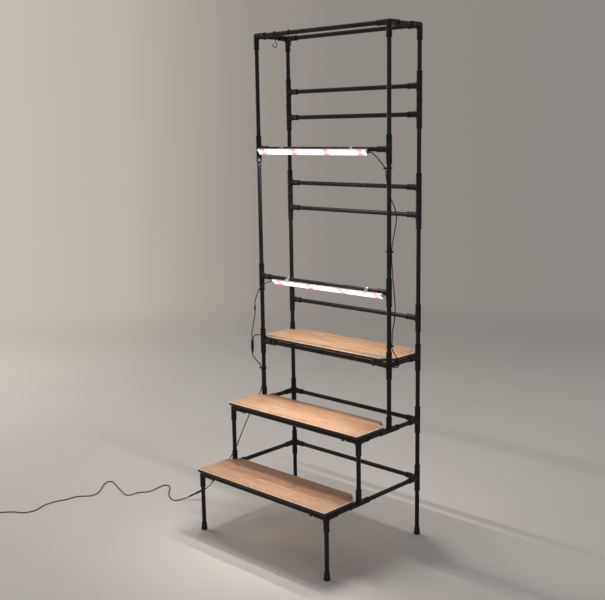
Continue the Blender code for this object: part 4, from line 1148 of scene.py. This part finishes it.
def board(node, front_cut, front_y, rail_z, clip_y):
    """A board with rounded rims and cut corners, its screw heads and its two snap clips."""
    bottom = rail_z + BOARD_SEAT
    top = bottom + BOARD_THICKNESS
    back_y = front_y + BOARD_DEPTH
    right = [
        (BOARD_END - front_cut, front_y), (BOARD_END, front_y + front_cut),
        (BOARD_END, back_y - BOARD_CUT), (BOARD_END - BOARD_CUT, back_y),
    ]
    if not front_cut:
        right = right[1:]
    outline = right + [(-x, y) for x, y in right[::-1]]
    shape, _ = prism(*([(x, y, z) for x, y in outline] for z in (bottom, top)))
    rounded(shape, shape.edges[:], RIM_ROUNDING, 4)
    panel = add(f"panel_{node}", shape, (WOOD, PAINTED_SHADE_EDGE, PAINTED_RIM_HIGHLIGHT), "board", node, sharp=60)
    # Flat faces take the wood, rims that face up the painted highlight, and the rest the painted
    # shade
    for polygon in panel.data.polygons:
        up = polygon.normal.z
        polygon.material_index = 0 if abs(up) > 0.99 else 2 if up > 0.3 else 1
    inward = BOARD_CUT / 2 + SCREW_SETBACK
    sides = (inward - BOARD_END, BOARD_END - inward)
    places = [Vector((x, back_y - inward, top - 0.0001)) for x in sides]
    heads = merged(turned(place, Z, SCREW_PROFILE, 20) for place in places)
    add(f"panel_{node}_screws", heads, PLASTIC, "plug")
    for number, x in enumerate((LEFT + CLIP_INSET, RIGHT - CLIP_INSET), 1):
        clip = pulled(board_clip_outline(), x - CLIP_HALF_WIDTH, x + CLIP_HALF_WIDTH, 0.0004)
        bmesh.ops.translate(clip, vec=(0, clip_y, rail_z), verts=clip.verts)
        add(f"snap_{node}_{number}", clip, PLASTIC, "board")


board("board_low", 0, FRONT - STEP_BOARD_OVERHANG, LOW_Z, FRONT)
board("board_middle", 0, MIDDLE - STEP_BOARD_OVERHANG, MIDDLE_Z, MIDDLE)
board("board_tower", BOARD_CUT, TOWER_FRONT - TOWER_BOARD_OVERHANG, SHELF_Z, TOWER_FRONT)


# ---- grow lights


def bar_clip_outline():
    """A C round the rail and two arms round the bar."""
    mouth = pi - BAR_CLIP_MOUTH_ANGLE
    plate = BAR_BACK - TOUCH_GAP
    inner = BAR_WIDTH / 2 + TOUCH_GAP
    outer = inner + 0.0015
    lower = arc(BORE_RADIUS + 0.0025, -mouth, -BAR_CLIP_FLANK_ANGLE, 16)
    lower += [
        (plate - 0.003, -outer + 0.0006), (plate - 0.0024, -outer), (plate + 0.0056, -outer),
        (plate + 0.006, -outer + 0.0004), (plate + 0.006, -inner - 0.0003),
        (plate + 0.0056, -inner), (plate, -inner),
    ]
    upper = [(forward, -up) for forward, up in lower]
    return arc(BORE_RADIUS, mouth, -mouth, 40) + lower + upper[::-1]


def channel_outline():
    """The bar's section: a deep trough, two cooling grooves a side and rounded back corners."""
    half = BAR_WIDTH / 2
    side = [(BAR_FLOOR, 0.0085), (BAR_FRONT - 0.0005, 0.0085), (BAR_FRONT, 0.009)]
    side += [(BAR_FRONT, half - 0.0004), (BAR_FRONT - 0.0004, half)]
    for start in (0.0042, 0.0068):
        side += [
            (BAR_FRONT - start, half), (BAR_FRONT - start - 0.0003, half - 0.0006),
            (BAR_FRONT - start - 0.0011, half - 0.0006), (BAR_FRONT - start - 0.0014, half),
        ]
    side += [(BAR_BACK + 0.0012, half), (BAR_BACK + 0.0004, half - 0.0004)]
    side += [(BAR_BACK, half - 0.0012)]
    return side + [(forward, -up) for forward, up in side[::-1]]


def lamp_shapes(along, forward):
    """A square foot, and a low round lens on it that faces forward."""
    radius, height = 0.0026, 0.0017
    low = (along - 0.0028, -forward - 0.0006, -0.0028)
    foot = block(low, (along + 0.0028, -forward + 0.0002, 0.0028), 0.0003, 1)
    front = -forward - 0.0004
    dome = [
        [(along + radius * out * x, front - height * up, radius * out * z) for x, z in turns(16)]
        for out, up in arc(1, 0, pi / 2, 5)
    ]
    return foot, stacked(dome)


def light_bar(prefix, rail_z, free_end, direction, angle, clips, glows):
    """One grow light on its body: channel, caps, gland, strip, lamps, clips and its glow."""
    pose = Matrix.Translation((0, TOWER_FRONT, rail_z)) @ Matrix.Rotation(angle, 4, "X")
    lead_end = free_end + direction * BAR_LENGTH
    ends = sorted((free_end, lead_end))
    half = BAR_WIDTH / 2

    def place(part, shape, look, slot, *nodes, sharp=SHARP):
        add(f"{prefix}_{part}", shape, look, slot, *nodes, body=prefix, sharp=sharp, pose=pose)

    first_lamp = free_end + direction * BAR_FREE_END
    last_lamp = first_lamp + direction * (LAMP_COUNT - 1) * LAMP_PITCH
    first_red = first_lamp + direction * LAMP_PITCH
    # Painted glow: emission on the strip, the lamp feet and the channel's inner walls stands in for
    # the lamps' light on them
    painted_strip_glow = painted_lamp_glow(
        f"{prefix}_board_painted_glow", first_red, 0.0105, (1, 0.93, 0.9), (1, 0.5, 0.52), 1.05
    )
    painted_wall_glow = painted_lamp_glow(
        f"{prefix}_wall_painted_glow", first_red, 0.02, (0.97, 0.9, 0.84), (1, 0.3, 0.33), 0.85
    )
    housing = pulled(channel_outline(), ends[0] + 0.0025, ends[1] - 0.0025)
    # The channel's inner walls take the painted glow
    for face in housing.faces:
        centre = face.calc_center_median()
        if -centre.y > BAR_FLOOR + 0.0005 and abs(centre.z) > 0.0083:
            face.material_index = 1
    place("channel", housing, (CHANNEL, painted_wall_glow), "light_channel", f"{prefix}_housing")
    caps = merged(
        block((low, -BAR_FRONT, -half), (low + 0.003, -BAR_BACK, half), 0.001, 3)
        for low in (ends[0], ends[1] - 0.003)
    )
    place("end_caps", caps, END_CAP, "light_channel")
    gland = turned(
        Vector((lead_end - direction * 0.0004, -BAR_AXIS, 0)),
        direction * X,
        [(0, 0.0035), (0.0016, 0.0035), (0.0019, 0.0031), (0.0028, 0.0031), (0.0031, 0.0034)]
        + [(0.0045, 0.0033), (0.0048, 0.0029), (0.0056, 0.0029), (0.0059, 0.003)]
        + [(0.0074, 0.0026), (0.0079, 0.002)],
    )
    place("gland", gland, PLASTIC, "plug", sharp=50)

    span = sorted((first_lamp - direction * 0.0019, last_lamp + direction * 0.004))
    strip_back = BAR_FLOOR + TOUCH_GAP
    strip_front = strip_back + STRIP_THICKNESS
    strip = block((span[0], -strip_front, -0.006), (span[1], -strip_back, 0.006), 0.0002, 1)
    place("strip", strip, painted_strip_glow, "lamps", f"{prefix}_lamps")
    whites, reds, feet = [], [], []
    for index in range(LAMP_COUNT):
        nudge = 0 if index else FIRST_LAMP_NUDGE
        foot, lens = lamp_shapes(first_lamp + direction * (index * LAMP_PITCH + nudge), strip_front)
        feet.append(foot)
        (reds if index in RED_LAMPS else whites).append(lens)
    place("white_lamps", merged(whites), WHITE_LAMP, "lamps", sharp=60)
    place("red_lamps", merged(reds), RED_LAMP, "lamps", sharp=60)
    place("lamp_feet", merged(feet), painted_strip_glow, "lamps")
    for side, x in zip(("left", "right"), clips):
        reach_x = (x - BAR_CLIP_HALF_WIDTH, x + BAR_CLIP_HALF_WIDTH)
        clip = pulled(bar_clip_outline(), *reach_x, 0.0003)
        place(f"holder_{side}", clip, CLEAR, "light_clip", f"{prefix}_clip_{side}")

    # Long soft lamps under the bar, turned forward from straight down
    spot = pose @ Vector((sum(ends) / 2, -BAR_FRONT - 0.0006, 0)) - GLOW_DROP * Z
    for number, (forward_turn, spread, energy) in enumerate(glows, 1):
        turn = Matrix.Rotation(-radians(forward_turn), 3, "X")
        glow = area_lamp(
            f"{prefix}_glow_{number}", spot, turn, energy=energy, color=(1, 0.95, 0.92),
            shape="RECTANGLE", size=BAR_LENGTH, size_y=0.012, spread=radians(spread),
        )
        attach(glow, prefix)


light_bar(
    "light_upper", UPPER_LIGHT_Z, UPPER_START, 1, UPPER_BAR_ANGLE, (LEFT + 0.13, RIGHT - 0.165),
    ((20, 170, 3.9),),
)
light_bar(
    "light_lower", LOWER_LIGHT_Z, LOWER_START, -1, LOWER_BAR_ANGLE, (LEFT + 0.15, RIGHT - 0.095),
    ((20, 60, 0.33), (-30, 175, 0.21)),
)


# ---- hooks


def hook_line(x, y, z):
    """The middle of an S-hook's wire: a curl over the rail, a straight, and a curl below."""
    radius = TUBE_RADIUS + TOUCH_GAP + HOOK_WIRE / 2
    drop = HOOK_DROP - radius - HOOK_WIRE / 2
    leave = pi + asin(2 * radius / drop)
    upper = [Vector((0, *point)) for point in arc(radius, HOOK_TIP_ANGLE, leave, 34)]
    lower = [Vector((0, 0, -drop)) - point for point in upper]
    straight = [upper[-1].lerp(lower[-1], share / 6) for share in range(1, 6)]
    return [Vector((x, y, z)) + point for point in upper + straight + lower[::-1]]


for number, x in enumerate(HOOK_PLACES, 1):
    wire = sweep(round_ended(hook_line(x, TOWER_FRONT, TOP_Z), HOOK_WIRE / 2), 16)
    node = f"hook_{number}"
    add(f"pot_{node}", wire, BRONZE, "hook", node, body=node, sharp=60)
